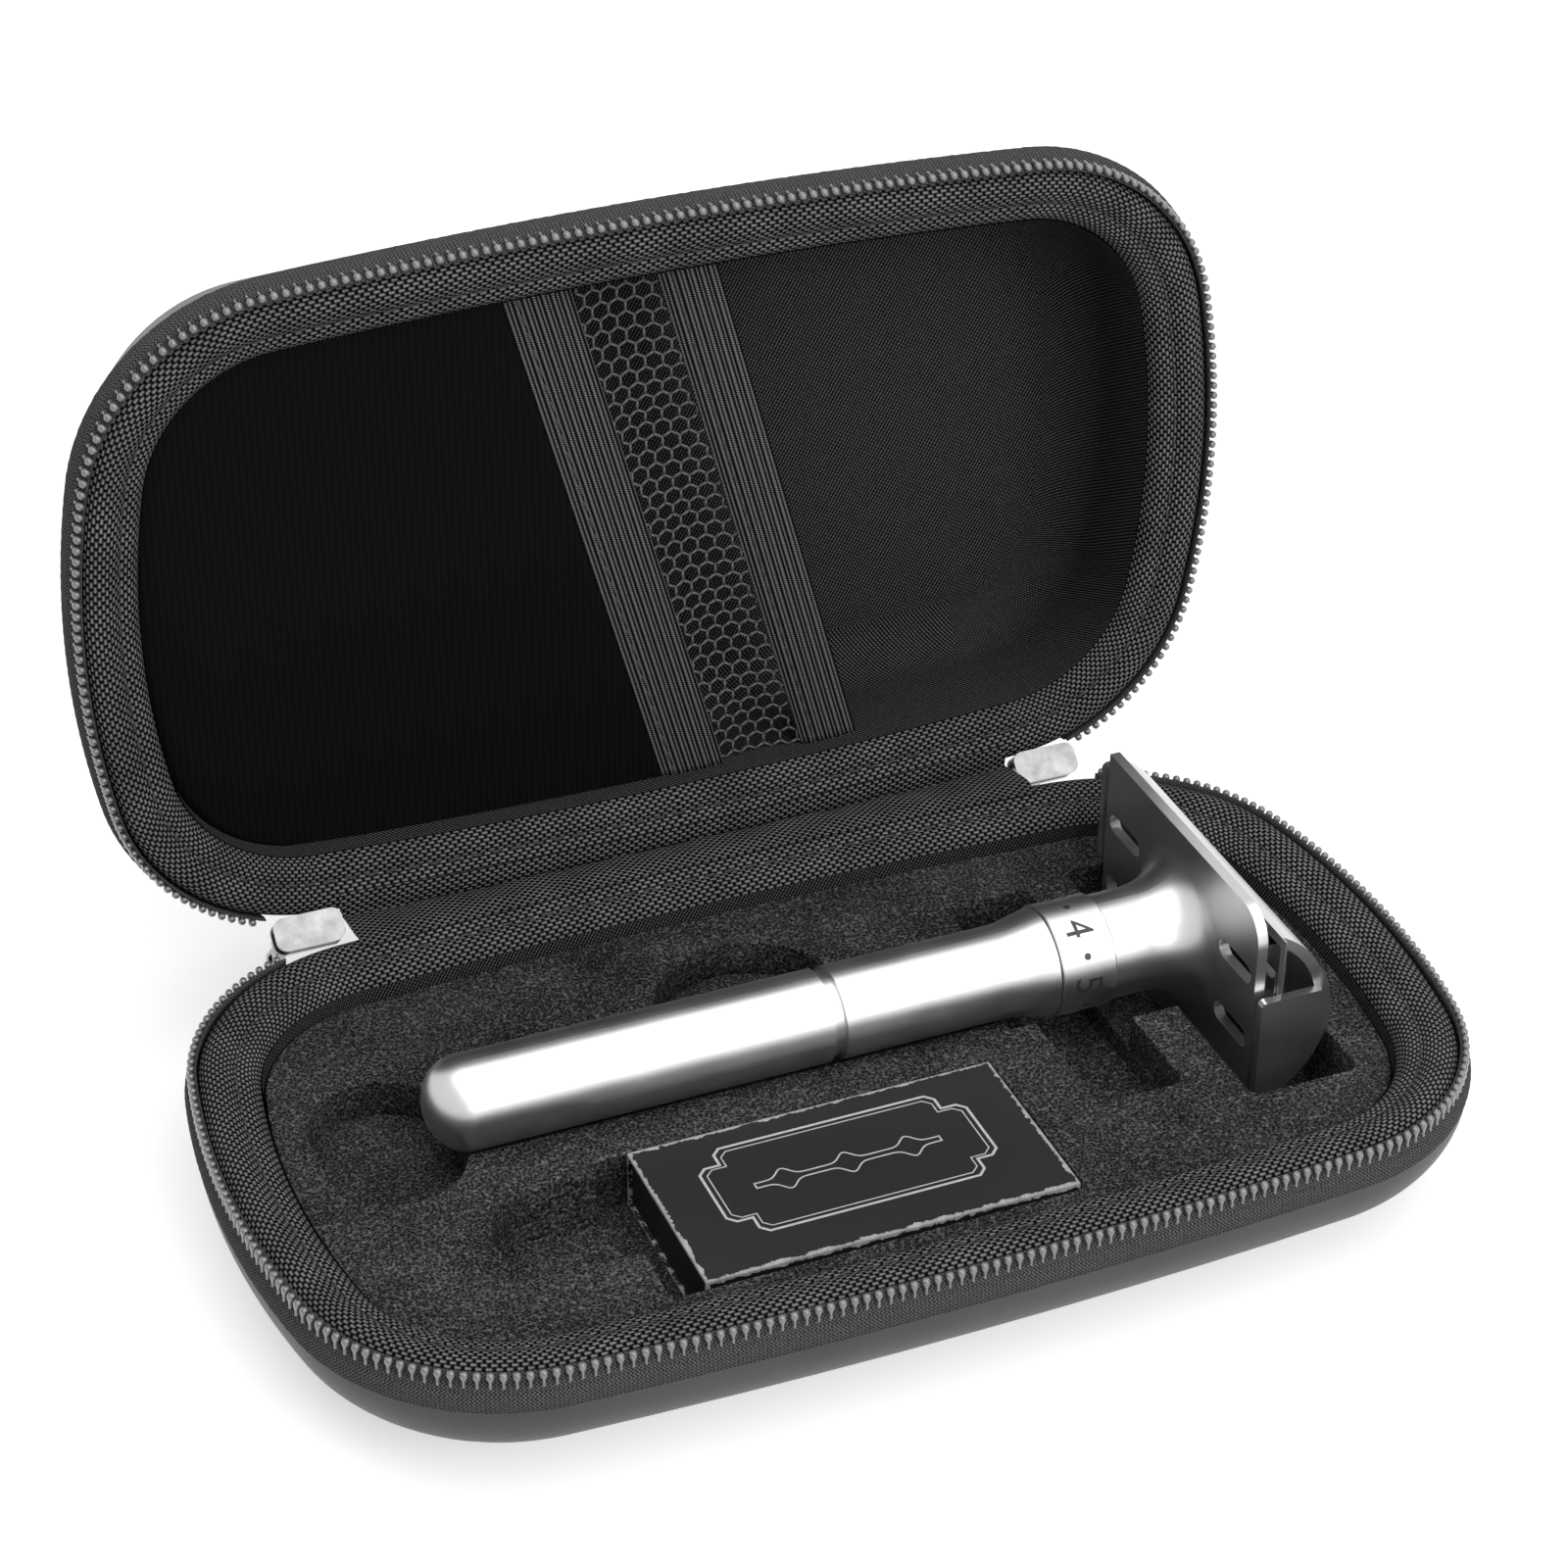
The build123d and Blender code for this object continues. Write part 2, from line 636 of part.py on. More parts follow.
with BuildPart() as razor_cap:
    with BuildSketch(razor_side):
        add(dome_face())
    extrude(amount=cap_half, both=True)
    with BuildSketch(razor_side):
        add(dome_face(CAP_WALL))
    extrude(amount=cap_half - CAP_END_T, both=True, mode=Mode.SUBTRACT)
    # seat that clamps the blade, and the threaded post
    with BuildSketch(razor_side):
        add(dome_face(CAP_WALL - 0.2))
        with Locations((CAP_TOP, 0)):
            Rectangle(3 * CAP_SEAT, 2 * CAP_SEAT, mode=Mode.INTERSECT)
    extrude(amount=DRAIN_Y, both=True)
    with BuildSketch(razor_face(cap_x + 1)):
        Circle(SCREW_R)
    extrude(amount=-(cap_x + 1 - upper_start - 6))
    # diagonal ends: one half wraps past the blade, the other half is open
    for side in (-1, 1):
        with BuildSketch(razor_side.offset(-side * (cap_half - CAP_END_T))):
            add(wing_face(-side * WING_TOP))
        extrude(amount=-side * CAP_END_T)
        with BuildSketch(razor_side.offset(-side * (cap_half - CAP_END_T - 0.01))):
            with Locations((cap_x + CAP_TOP / 20, side * -(WING_TOP + CAP_HALF_WIDTH) / 2)):
                Rectangle(CAP_TOP / 10 - 0.4, CAP_HALF_WIDTH - WING_TOP)
        extrude(amount=-side * (CAP_END_T + 1), mode=Mode.SUBTRACT)

# Blade box: a card sleeve open at both ends, a tray in it, and the wrapped blades
box_bottom = Plane((BOX_X, BOX_Y, box_floor), x_dir=(1, 0, 0), z_dir=(0, 0, 1))
tray_length = BOX_LENGTH - 2 * CARD_T
tray_width = BOX_WIDTH - 2 * (CARD_T + CARD_GAP)
tray_height = BOX_HEIGHT - 2 * (CARD_T + CARD_GAP)
with BuildPart() as blade_box_sleeve:
    with BuildSketch(box_bottom):
        Rectangle(BOX_LENGTH, BOX_WIDTH)
    extrude(amount=BOX_HEIGHT)
    with BuildSketch(box_bottom.offset(CARD_T)):
        Rectangle(BOX_LENGTH + 2, BOX_WIDTH - 2 * CARD_T)
    extrude(amount=BOX_HEIGHT - 2 * CARD_T, mode=Mode.SUBTRACT)

with BuildPart() as blade_box_tray:
    with BuildSketch(box_bottom.offset(CARD_T + CARD_GAP)):
        Rectangle(tray_length, tray_width)
    extrude(amount=tray_height)
    with BuildSketch(box_bottom.offset(2 * CARD_T + CARD_GAP)):
        Rectangle(tray_length - 2 * CARD_T, tray_width - 2 * CARD_T)
    extrude(amount=tray_height, mode=Mode.SUBTRACT)

with BuildPart() as wrapped_blades:
    for number in range(BLADE_PACKS):
        rise = 2 * CARD_T + CARD_GAP + number * (BLADE_PACK_T + 0.1)
        with BuildSketch(box_bottom.offset(rise + 0.02)):
            RectangleRounded(BLADE_LENGTH + 2, BLADE_WIDTH + 0.6, 1.0)
        extrude(amount=BLADE_PACK_T)

# Lid pocket: a soft panel, two elastic bands and a strip of net between them
pocket_inset = RIM_WIDTH + LINING_T + SEAM_GAP


def pocket_face(left, right):
    """Strip of the lid's mouth between two leaning lines, given where they cross the middle."""
    reach = CASE_WIDTH / 2
    lean = hinge_side(lid_mouth) * reach * math.tan(math.radians(POCKET_LEAN))
    top = hinge_side(lid_mouth) * reach
    with BuildSketch() as strip:
        add(mouth_face(pocket_inset))
        with BuildLine():
            Polyline(
                (left - reach * lean / top, -reach),
                (right - reach * lean / top, -reach),
                (right + reach * lean / top, reach),
                (left + reach * lean / top, reach),
                close=True,
            )
        make_face(mode=Mode.INTERSECT)
    return strip.sketch


with BuildPart() as pocket_panel:
    with BuildSketch(lid_mouth.offset(POCKET_DEPTH)):
        add(pocket_face(-CASE_LENGTH, PANEL_EDGE))
    extrude(amount=PANEL_T)

with BuildPart() as pocket_band_left:
    with BuildSketch(lid_mouth.offset(POCKET_DEPTH)):
        add(pocket_face(PANEL_EDGE + SEAM_GAP, BAND_1_EDGE))
    extrude(amount=BAND_T)

with BuildPart() as pocket_band_right:
    with BuildSketch(lid_mouth.offset(POCKET_DEPTH)):
        add(pocket_face(NET_EDGE, BAND_2_EDGE))
    extrude(amount=BAND_T)

with BuildPart() as pocket_net:
    net_z = POCKET_DEPTH + (BAND_T - NET_T) / 2
    with BuildSketch(lid_mouth.offset(net_z)):
        add(pocket_face(BAND_1_EDGE + SEAM_GAP, NET_EDGE - SEAM_GAP))
        cell = (NET_PITCH - NET_STRAND) / 2
        border = offset(
            pocket_face(BAND_1_EDGE + SEAM_GAP, NET_EDGE - SEAM_GAP), -cell - 0.7, mode=Mode.PRIVATE
        )
        holes = []
        for row in range(-20, 21):
            for column in range(-10, 20):
                spot = Vector((column + row % 2 / 2) * NET_PITCH, row * NET_PITCH * math.sin(math.pi / 3))
                if border.is_inside(spot):
                    holes.append((spot.X, spot.Y))
        with Locations(*holes):
            RegularPolygon(cell, 6, major_radius=False, rotation=30, mode=Mode.SUBTRACT)
    extrude(amount=NET_T)
    print("net holes", len(holes))

# Zip sliders stand at the hinge ends of the zip, half as far open as the lid
slider_angle = LID_OPEN / 2
slider_edge = CASE_WIDTH / 2 - 1.6
slider_in = slider_edge + SLIDER_OUT - SLIDER_MOUTH - SLIDER_PLATE_T
bridge_plane_y = slider_edge + SLIDER_OUT + SLIDER_PLATE_T


def zip_plane(x, y, z=MOUTH_Z - SLIDER_DROP):
    """Plane that faces out of the zip; local x is the case's X, local y runs into the base."""
    new_y, new_z = swing(y, z, slider_angle)
    turn = math.radians(slider_angle)
    return Plane((x, new_y, new_z), x_dir=(1, 0, 0), z_dir=(0, math.cos(turn), -math.sin(turn)))


def make_slider(side):
    """Two plates round the tapes, a wedge between them, and a bridge for the pull."""
    with BuildPart() as slider:
        for y in (slider_in, slider_in + SLIDER_PLATE_T + SLIDER_MOUTH):
            with BuildSketch(zip_plane(side * SLIDER_X, y)):
                RectangleRounded(SLIDER_LENGTH, SLIDER_WIDTH, 1.4)
            extrude(amount=SLIDER_PLATE_T)
        with BuildSketch(zip_plane(side * (SLIDER_X - SLIDER_LENGTH / 2 + 1.2), slider_in)):
            SlotOverall(1.9, 1.2, rotation=90)
        extrude(amount=SLIDER_PLATE_T + SLIDER_MOUTH + 0.1)
        for z in (-1, 1):
            for y in (slider_in, slider_in + SLIDER_PLATE_T + SLIDER_MOUTH - SLIDER_LIP):
                with BuildSketch(zip_plane(side * SLIDER_X, y)):
                    with Locations((0, z * (SLIDER_WIDTH / 2 - 0.25))):
                        Rectangle(SLIDER_LENGTH - 2.8, 0.5)
                extrude(amount=SLIDER_PLATE_T + SLIDER_LIP)
        with BuildSketch(zip_plane(side * (SLIDER_X + 0.4), bridge_plane_y)):
            Rectangle(SLIDER_LENGTH - 1.6, BRIDGE_WIDTH)
        extrude(amount=BRIDGE_H + BRIDGE_T)
        with BuildSketch(zip_plane(side * (SLIDER_X + 0.4), bridge_plane_y)):
            Rectangle(SLIDER_LENGTH - 3.8, BRIDGE_WIDTH + 1)
        extrude(amount=BRIDGE_H, mode=Mode.SUBTRACT)
    return slider


def make_pull(side):
    """Wire loop through the bridge and a flat tab, hanging square to the slider."""
    pin_y = bridge_plane_y + BRIDGE_H / 2
    across = zip_plane(side * PULL_X, pin_y)
    blade = Plane(across.origin, x_dir=across.z_dir, z_dir=(side, 0, 0))
    inner_half = BRIDGE_WIDTH / 2 + PULL_CLEARANCE
    with BuildPart() as pull:
        with BuildSketch(blade.offset(-PULL_T / 2)):
            with Locations(((PULL_LENGTH - PULL_T) / 2, 0)):
                RectangleRounded(PULL_LENGTH, PULL_WIDTH, PULL_WIDTH / 2 - 0.05)
            with Locations((PULL_LOOP / 2 + PULL_T / 4, 0)):
                Rectangle(PULL_LOOP - PULL_T / 2, 2 * inner_half, mode=Mode.SUBTRACT)
            with Locations((PULL_LENGTH - 3.4, 0)):
                SlotOverall(3.0, 1.2, mode=Mode.SUBTRACT)
        extrude(amount=PULL_T)
    return pull


zip_slider_left = make_slider(-1)
zip_slider_right = make_slider(1)
zip_pull_left = make_pull(-1)
zip_pull_right = make_pull(1)

for piece, name in (
    (base_shell, "base_shell"),
    (base_lining, "base_lining"),
    (base_rim, "base_rim"),
    (base_zip_tape, "base_zip_tape"),
    (base_zip_teeth, "base_zip_teeth"),
    (base_hinge_leaf, "base_hinge_leaf"),
    (lid_shell, "lid_shell"),
    (lid_lining, "lid_lining"),
    (lid_rim, "lid_rim"),
    (lid_zip_tape, "lid_zip_tape"),
    (lid_zip_teeth, "lid_zip_teeth"),
    (lid_hinge_leaf, "lid_hinge_leaf"),
    (foam_upper, "foam_upper"),
    (foam_lower, "foam_lower"),
    (razor_grip, "razor_grip"),
    (razor_upper_handle, "razor_upper_handle"),
    (razor_core, "razor_core"),
    (razor_dial, "razor_dial"),
    (razor_guard, "razor_guard"),
    (razor_blade, "razor_blade"),
    (razor_cap, "razor_cap"),
    (blade_box_sleeve, "blade_box_sleeve"),
    (blade_box_tray, "blade_box_tray"),
    (wrapped_blades, "wrapped_blades"),
    (pocket_panel, "pocket_panel"),
    (pocket_band_left, "pocket_band_left"),
    (pocket_net, "pocket_net"),
    (pocket_band_right, "pocket_band_right"),
    (zip_slider_left, "zip_slider_left"),
    (zip_slider_right, "zip_slider_right"),
    (zip_pull_left, "zip_pull_left"),
    (zip_pull_right, "zip_pull_right"),
):
    save(piece, name)
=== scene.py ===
import math

import bmesh
import bpy
from mathutils import Matrix, Vector
from mathutils.geometry import intersect_sphere_sphere_2d


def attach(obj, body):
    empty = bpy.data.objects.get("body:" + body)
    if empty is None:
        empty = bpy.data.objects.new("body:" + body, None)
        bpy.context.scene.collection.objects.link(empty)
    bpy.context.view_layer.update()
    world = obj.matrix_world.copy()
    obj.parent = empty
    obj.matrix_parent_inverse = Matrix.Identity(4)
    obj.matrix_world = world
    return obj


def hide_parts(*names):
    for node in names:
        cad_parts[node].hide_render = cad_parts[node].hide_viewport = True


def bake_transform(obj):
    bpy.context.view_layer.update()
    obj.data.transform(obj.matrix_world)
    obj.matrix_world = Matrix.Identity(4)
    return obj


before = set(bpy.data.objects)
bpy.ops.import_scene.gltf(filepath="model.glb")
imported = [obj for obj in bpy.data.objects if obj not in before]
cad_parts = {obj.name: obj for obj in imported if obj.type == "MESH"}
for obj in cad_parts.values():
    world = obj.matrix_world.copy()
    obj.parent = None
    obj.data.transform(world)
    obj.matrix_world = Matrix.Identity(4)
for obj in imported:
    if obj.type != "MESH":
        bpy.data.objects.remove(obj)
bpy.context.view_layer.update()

# The two hard shells: stiff board moulded with a thin satin skin, one deep as the lid and one as the base.
# The skin is even and slightly shiny, with a fine grain and faint cloudy marks of handling.
MM = 0.001
HALVES = ("base", "lid")
SHELL_TONE = (0.022, 0.022, 0.023)
SHELL_WORN = (0.045, 0.045, 0.047)


class Wire:
    """A number on its way through a finish: sums and products on it add their Math nodes."""

    def __init__(self, finish, socket):
        self.finish = finish
        self.socket = socket

    def math(self, operation, first, second=0.0):
        return self.finish.node("ShaderNodeMath", {"operation": operation}, {0: first, 1: second})

    def __add__(self, other):
        return self.math("ADD", self, other)

    def __sub__(self, other):
        return self.math("SUBTRACT", self, other)

    def __rsub__(self, other):
        return self.math("SUBTRACT", other, self)

    def __mul__(self, other):
        return self.math("MULTIPLY", self, other)

    def __truediv__(self, other):
        return self.math("DIVIDE", self, other)

    def __pow__(self, other):
        return self.math("POWER", self, other)

    def __lt__(self, other):
        return self.math("LESS_THAN", self, other)

    def __abs__(self):
        return self.math("ABSOLUTE", self)

    def sine(self):
        return self.math("SINE", self)

    def floor(self):
        return self.math("FLOOR", self)

    def fraction(self):
        return self.math("FRACT", self)

    def most(self, other):
        return self.math("MAXIMUM", self, other)

    def least(self, other):
        return self.math("MINIMUM", self, other)

    __radd__ = __add__
    __rmul__ = __mul__


class Finish:
    """One finish of the case: its node method adds a node, sets it up, then wires its sockets."""

    def __init__(self, name, roughness=0.5, metal=0.0, specular=0.5):
        self.material = bpy.data.materials.new(name)
        self.material.use_nodes = True
        self.tree = self.material.node_tree
        self.surface = self.tree.nodes["Principled BSDF"]
        self.put("Roughness", roughness)
        self.put("Metallic", metal)
        self.put("Specular IOR Level", specular)

    def put(self, socket, value):
        self.plug(self.surface.inputs[socket], value)

    def plug(self, socket, value):
        if isinstance(value, Wire):
            self.tree.links.new(value.socket, socket)
        else:
            socket.default_value = value

    def node(self, kind, settings=None, inputs=None, output=0):
        made = self.tree.nodes.new(kind)
        for name, value in (settings or {}).items():
            setattr(made, name, value)
        for name, value in (inputs or {}).items():
            self.plug(made.inputs[name], value)
        return Wire(self, made.outputs[output])

    def place(self):
        return self.node("ShaderNodeTexCoord", output="Object")

    def cloth(self):
        """How far along and how far across its cloth a point lies, in metres."""
        spot = self.node("ShaderNodeUVMap", {"uv_map": "cloth"})
        return self.apart(spot)[:2]

    def apart(self, vector):
        return [self.node("ShaderNodeSeparateXYZ", None, {0: vector}, axis) for axis in range(3)]

    def noise(self, size, detail=2.0, rough=0.5):
        """Cloudy noise of that grain size in metres, from 0 to 1."""
        inputs = {"Scale": 1 / size, "Detail": detail, "Roughness": rough, "Vector": self.place()}
        return self.node("ShaderNodeTexNoise", None, inputs, "Fac")

    def mix(self, share, first, second):
        """Blend of two colours."""
        settings = {"data_type": "RGBA", "clamp_factor": True}
        return self.node("ShaderNodeMix", settings, {0: share, 6: first, 7: second}, 2)

    def tint(self, share, first, second):
        """Base colour between two tones, as share goes from 0 to 1."""
        self.put("Base Color", self.mix(share, (*first, 1), (*second, 1)))

    def ramp(self, value, low, high):
        """A value stretched so that low becomes 0 and high becomes 1, and held between them."""
        ends = {"Value": value, "From Min": low, "From Max": high}
        return self.node("ShaderNodeMapRange", {"clamp": True}, ends)

    def ray(self, kind):
        """1 for rays of that kind and 0 for others."""
        return self.node("ShaderNodeLightPath", output=f"Is {kind} Ray")

    def bump(self, height, distance, strength=1.0):
        inputs = {"Height": height, "Distance": distance, "Strength": strength}
        self.put("Normal", self.node("ShaderNodeBump", None, inputs))


def dress(piece, finish):
    """Give a piece its finish in place of what it had."""
    piece.data.materials.clear()
    piece.data.materials.append(finish.material)
    return piece


def dress_node(name, finish):
    """Give a node of the frame a finish."""
    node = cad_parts[name]
    if not node.material_slots:
        node.data.materials.append(finish.material)
    for slot in node.material_slots:
        slot.material = finish.material


shell_finish = Finish("satin_shell")
grain = shell_finish.noise(0.35 * MM, 3)
cloud = shell_finish.noise(14 * MM, 3)
shell_finish.tint(shell_finish.ramp(cloud, 0.3, 0.75), SHELL_TONE, SHELL_WORN)
shell_finish.put("Roughness", 0.36 + cloud * 0.14 + grain * 0.06)
shell_finish.bump(grain, 0.03 * MM, 0.5)
for half in HALVES:
    dress_node(half + "_shell", shell_finish)

# The linings: thin twill, pressed and glued to the inside of each shell while it is moulded.
# Each runs down the wall behind the rim's hem, turns in a rounded corner and covers the floor.
CASE_LENGTH = 156.0
CASE_WIDTH = 92.0
LONG_SIDE_BOW = 3.0
SHORT_SIDE_BOW = 8.4
CORNER_R = 27.4
MOUTH_HEIGHT = 20.0
HINGE_Y = 46.4
HINGE_Z = 15.9
LID_OPEN = math.radians(91.5)
FLOOR_DEPTH = {"base": 17.5, "lid": 22.5}
LINING_OUT = -8.5
LINING_CORNER = 6.5
LINING_TOP = 3.4
BEND_STEPS = 8
WALL_WAVE = 0.10
FLOOR_WAVES = (0.09, 0.05)
FLOOR_GLUE = 0.12
FLOOR_RINGS = 26
RING_STEP = 1.2
TWILL_RIB = 0.55 * MM
TWILL_THREAD = 0.42 * MM


def bow_radius(half_chord, bow):
    return (half_chord**2 + bow**2) / (2 * bow)


LONG_R = bow_radius(CASE_LENGTH / 2 - SHORT_SIDE_BOW, LONG_SIDE_BOW)
SHORT_R = bow_radius(CASE_WIDTH / 2 - LONG_SIDE_BOW, SHORT_SIDE_BOW)
LONG_MIDDLE = Vector((0, CASE_WIDTH / 2 - LONG_R))
SHORT_MIDDLE = Vector((CASE_LENGTH / 2 - SHORT_R, 0))
corners = intersect_sphere_sphere_2d(LONG_MIDDLE, LONG_R - CORNER_R, SHORT_MIDDLE, SHORT_R - CORNER_R)
CORNER_MIDDLE = max(corners, key=lambda spot: spot.y + spot.x)
LONG_TURN = math.atan2(*(CORNER_MIDDLE - LONG_MIDDLE).yx)
SHORT_TURN = math.atan2(*(CORNER_MIDDLE - SHORT_MIDDLE).yx)
LONG_RUN = LONG_R * (math.pi / 2 - LONG_TURN)
CORNER_RUN = CORNER_R * (LONG_TURN - SHORT_TURN)
QUARTER = LONG_RUN + CORNER_RUN + SHORT_R * SHORT_TURN
ROUND = 4 * QUARTER


def mouth_line(along):
    """Point and outward direction of the zip line, along it from the middle of the hinge side."""
    quarter, run = divmod(along % ROUND, QUARTER)
    if quarter in (1, 3):
        run = QUARTER - run
    if run < LONG_RUN:
        middle, radius, turn = LONG_MIDDLE, LONG_R, math.pi / 2 - run / LONG_R
    elif run < LONG_RUN + CORNER_RUN:
        middle, radius, turn = CORNER_MIDDLE, CORNER_R, LONG_TURN - (run - LONG_RUN) / CORNER_R
    else:
        left = run - LONG_RUN - CORNER_RUN
        middle, radius, turn = SHORT_MIDDLE, SHORT_R, SHORT_TURN - left / SHORT_R
    out = Vector((math.cos(turn), math.sin(turn)))
    spot = middle + radius * out
    flip = Vector((-1 if quarter in (2, 3) else 1, -1 if quarter in (1, 2) else 1))
    return spot * flip, out * flip


def seat(half, x, y, deep):
    """World place of a point of the closed case, deep millimetres from the mouth into its shell."""
    if half == "base":
        return Vector((x, y, MOUTH_HEIGHT - deep)) * MM
    dy = y - HINGE_Y
    dz = MOUTH_HEIGHT + deep - HINGE_Z
    up = HINGE_Z - dy * math.sin(LID_OPEN) + dz * math.cos(LID_OPEN)
    return Vector((x, HINGE_Y + dy * math.cos(LID_OPEN) + dz * math.sin(LID_OPEN), up)) * MM


def by_mouth(half, along, out, deep):
    """World place of a point near a mouth: along the zip line, out from it, and deep."""
    spot, away = mouth_line(along)
    spot = spot + away * out
    return seat(half, spot.x, spot.y, deep)


def make_piece(name, points, faces, cloth=None, smooth=True):
    """A mesh piece; cloth gives for each face the place of its corners on the flat cloth."""
    mesh = bpy.data.meshes.new(name)
    mesh.from_pydata(points, [], faces)
    if cloth:
        layer = mesh.uv_layers.new(name="cloth")
        flat = [value for face in cloth for spot in face for value in spot]
        layer.data.foreach_set("uv", flat)
    mesh.polygons.foreach_set("use_smooth", [smooth] * len(faces))
    mesh.update()
    piece = bpy.data.objects.new(name, mesh)
    bpy.context.scene.collection.objects.link(piece)
    turn_outward(piece)
    return piece


def turn_outward(piece):
    work = bmesh.new()
    work.from_mesh(piece.data)
    bmesh.ops.recalc_face_normals(work, faces=work.faces)
    work.to_mesh(piece.data)
    work.free()


def lengths_of(profile):
    """How far along a profile each of its points lies, in metres."""
    run = [0.0]
    for first, second in zip(profile, profile[1:]):
        run.append(run[-1] + math.dist(first, second) * MM)
    return run


def swept(name, half, stops, profile, ring=True):
    """Sweep a closed profile of (out, deep) pairs past the given stops of the zip line."""
    columns = [profile(stop) for stop in stops]
    rows = len(columns[0])
    points = [by_mouth(half, stop, *spot) for stop, column in zip(stops, columns) for spot in column]
    across = lengths_of(columns[0] + columns[0][:1])
    faces = []
    cloth = []
    for column in range(len(stops) if ring else len(stops) - 1):
        left = stops[column] * MM
        right = (stops[column + 1] if column + 1 < len(stops) else ROUND + stops[0]) * MM
        after = (column + 1) % len(stops)
        for row in range(rows):
            above = (row + 1) % rows
            low, high = column * rows, after * rows
            faces.append((low + row, high + row, high + above, low + above))
            low, high = across[row], across[row + 1]
            cloth.append(((left, low), (right, low), (right, high), (left, high)))
    if not ring:
        for column in (0, len(stops) - 1):
            faces.append(tuple(column * rows + row for row in range(rows)))
            cloth.append(tuple((stops[column] * MM, across[row]) for row in range(rows)))
    return make_piece(name, points, faces, cloth)


def stops_round(step, start=0.0, end=None):
    """Evenly spaced stops along the zip line, round it or from start to end."""
    run = ROUND if end is None else end - start
    count = round(run / step)
    return [start + number * run / count for number in range(count if end is None else count + 1)]


def make_lining(half):
    """Wall, rounded corner and floor as one sheet; the floor lies a little uneven."""
    floor = FLOOR_DEPTH[half]
    stops = stops_round(RING_STEP)
    bend_out, bend_deep = LINING_OUT - LINING_CORNER, floor - LINING_CORNER
    drop = (bend_deep - LINING_TOP) / BEND_STEPS
    profile = [(LINING_OUT, LINING_TOP + step * drop) for step in range(BEND_STEPS + 1)]
    for step in range(1, BEND_STEPS + 1):
        turn = math.pi / 2 * step / BEND_STEPS
        corner = (bend_out + LINING_CORNER * math.cos(turn), bend_deep + LINING_CORNER * math.sin(turn))
        profile.append(corner)
    run = lengths_of(profile)
    points = []
    flat = []
    for stop in stops:
        for row, (out, deep) in enumerate(profile):
            wave = WALL_WAVE * math.sin(stop * 0.9 + row) * math.sin(row * 0.35) if row else 0
            points.append(by_mouth(half, stop, out - abs(wave), deep))
            flat.append((stop * MM, run[row]))
    rows = len(profile)
    edge = [spot + away * bend_out for spot, away in map(mouth_line, stops)]
    for ring in range(1, FLOOR_RINGS):
        for spot in edge:
            x, y = spot * (1 - ring / FLOOR_RINGS)
            ripple = FLOOR_WAVES[0] * math.sin(x * 0.31 + 1.3) * math.sin(y * 0.42)
            ripple += FLOOR_WAVES[1] * math.sin(x * 0.9 + y * 0.5)
            points.append(seat(half, x, y, floor - FLOOR_GLUE - ripple))
    middle = len(points)
    points.append(seat(half, 0, 0, floor - FLOOR_GLUE))
    faces = []
    cloth = []
    count = len(stops)

    def floor_index(ring, spoke):
        if ring == 0:
            return spoke * rows + rows - 1
        return count * rows + (ring - 1) * count + spoke

    def floor_flat(ring, spoke):
        return tuple(edge[spoke] * (1 - ring / FLOOR_RINGS) * MM)

    for column in range(count):
        after = (column + 1) % count
        left, right = stops[column] * MM, (stops[column] + RING_STEP) * MM
        for row in range(rows - 1):
            low, high = column * rows + row, after * rows + row
            faces.append((low, high, high + 1, low + 1))
            cloth.append(((left, run[row]), (right, run[row]), (right, run[row + 1]), (left, run[row + 1])))
        for ring in range(FLOOR_RINGS - 1):
            quad = ((ring, column), (ring, after), (ring + 1, after), (ring + 1, column))
            faces.append(tuple(floor_index(*corner) for corner in quad))
            cloth.append(tuple(floor_flat(*corner) for corner in quad))
        last = FLOOR_RINGS - 1
        faces.append((floor_index(last, column), floor_index(last, after), middle))
        cloth.append((floor_flat(last, column), floor_flat(last, after), (0.0, 0.0)))
    return make_piece(half + "_lining_cloth", points, faces, cloth)


lining_finish = Finish("twill_lining", 0.85, specular=0.03)
along, across = lining_finish.cloth()
rib = (along + across * 0.6) / TWILL_RIB
wale = abs((rib * math.pi).sine())
thread = abs((across * (math.pi / TWILL_THREAD) + rib.floor() * 1.3).sine())
height = wale * (0.55 + thread * 0.45)
# Painted light: each twill thread's top is painted bright as a highlight and the hollows between threads
# near black as painted shade, varied at random by a fine noise.
painted_twill_light = height ** 2.5 * (0.5 + lining_finish.noise(0.5 * MM, 3))
lining_finish.tint(painted_twill_light, (0.0005, 0.0005, 0.0005), (0.15, 0.15, 0.155))
lining_finish.bump(height, 0.16 * MM)
for half in HALVES:
    lining = dress(make_lining(half), lining_finish)
    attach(lining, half)
    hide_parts(half + "_lining")

# The padded rims: a soft roll of coarse woven cloth round each mouth, turned in over the wall.
# A line of stitches draws it down, and the hem inside that line lies flat against the wall.
RIM_ROLL = [
    (-1.0, 3.42), (-0.72, 2.5), (-0.85, 1.5), (-1.4, 0.72), (-2.2, 0.32), (-3.1, 0.22), (-4.0, 0.42),
    (-4.75, 0.85), (-5.2, 1.28), (-5.42, 1.5), (-5.65, 1.4), (-6.1, 1.42), (-6.75, 1.6), (-7.4, 2.05),
    (-7.95, 2.75), (-8.32, 3.7), (-8.42, 4.7), (-8.2, 5.15), (-8.04, 4.6), (-8.0, 3.46), (-4.5, 3.46),
]
SEAM_OUT = -5.42
SEAM_DEEP = 1.5
CREST_ROWS = range(3, 7)
FIRST_HEM_ROW = 15
STITCH_PITCH = 2.9
STITCH_LENGTH = 1.9
STITCH_RISE = 0.22
STITCH_R = 0.17 * MM
STITCH_SHARES = (0.0, 0.12, 0.35, 0.65, 0.88, 1.0)
THREAD_SIDES = 6
PUCKER = 0.10
PUCKER_WIDTH = 0.7
CREST_WAVES = (0.09, 0.06)
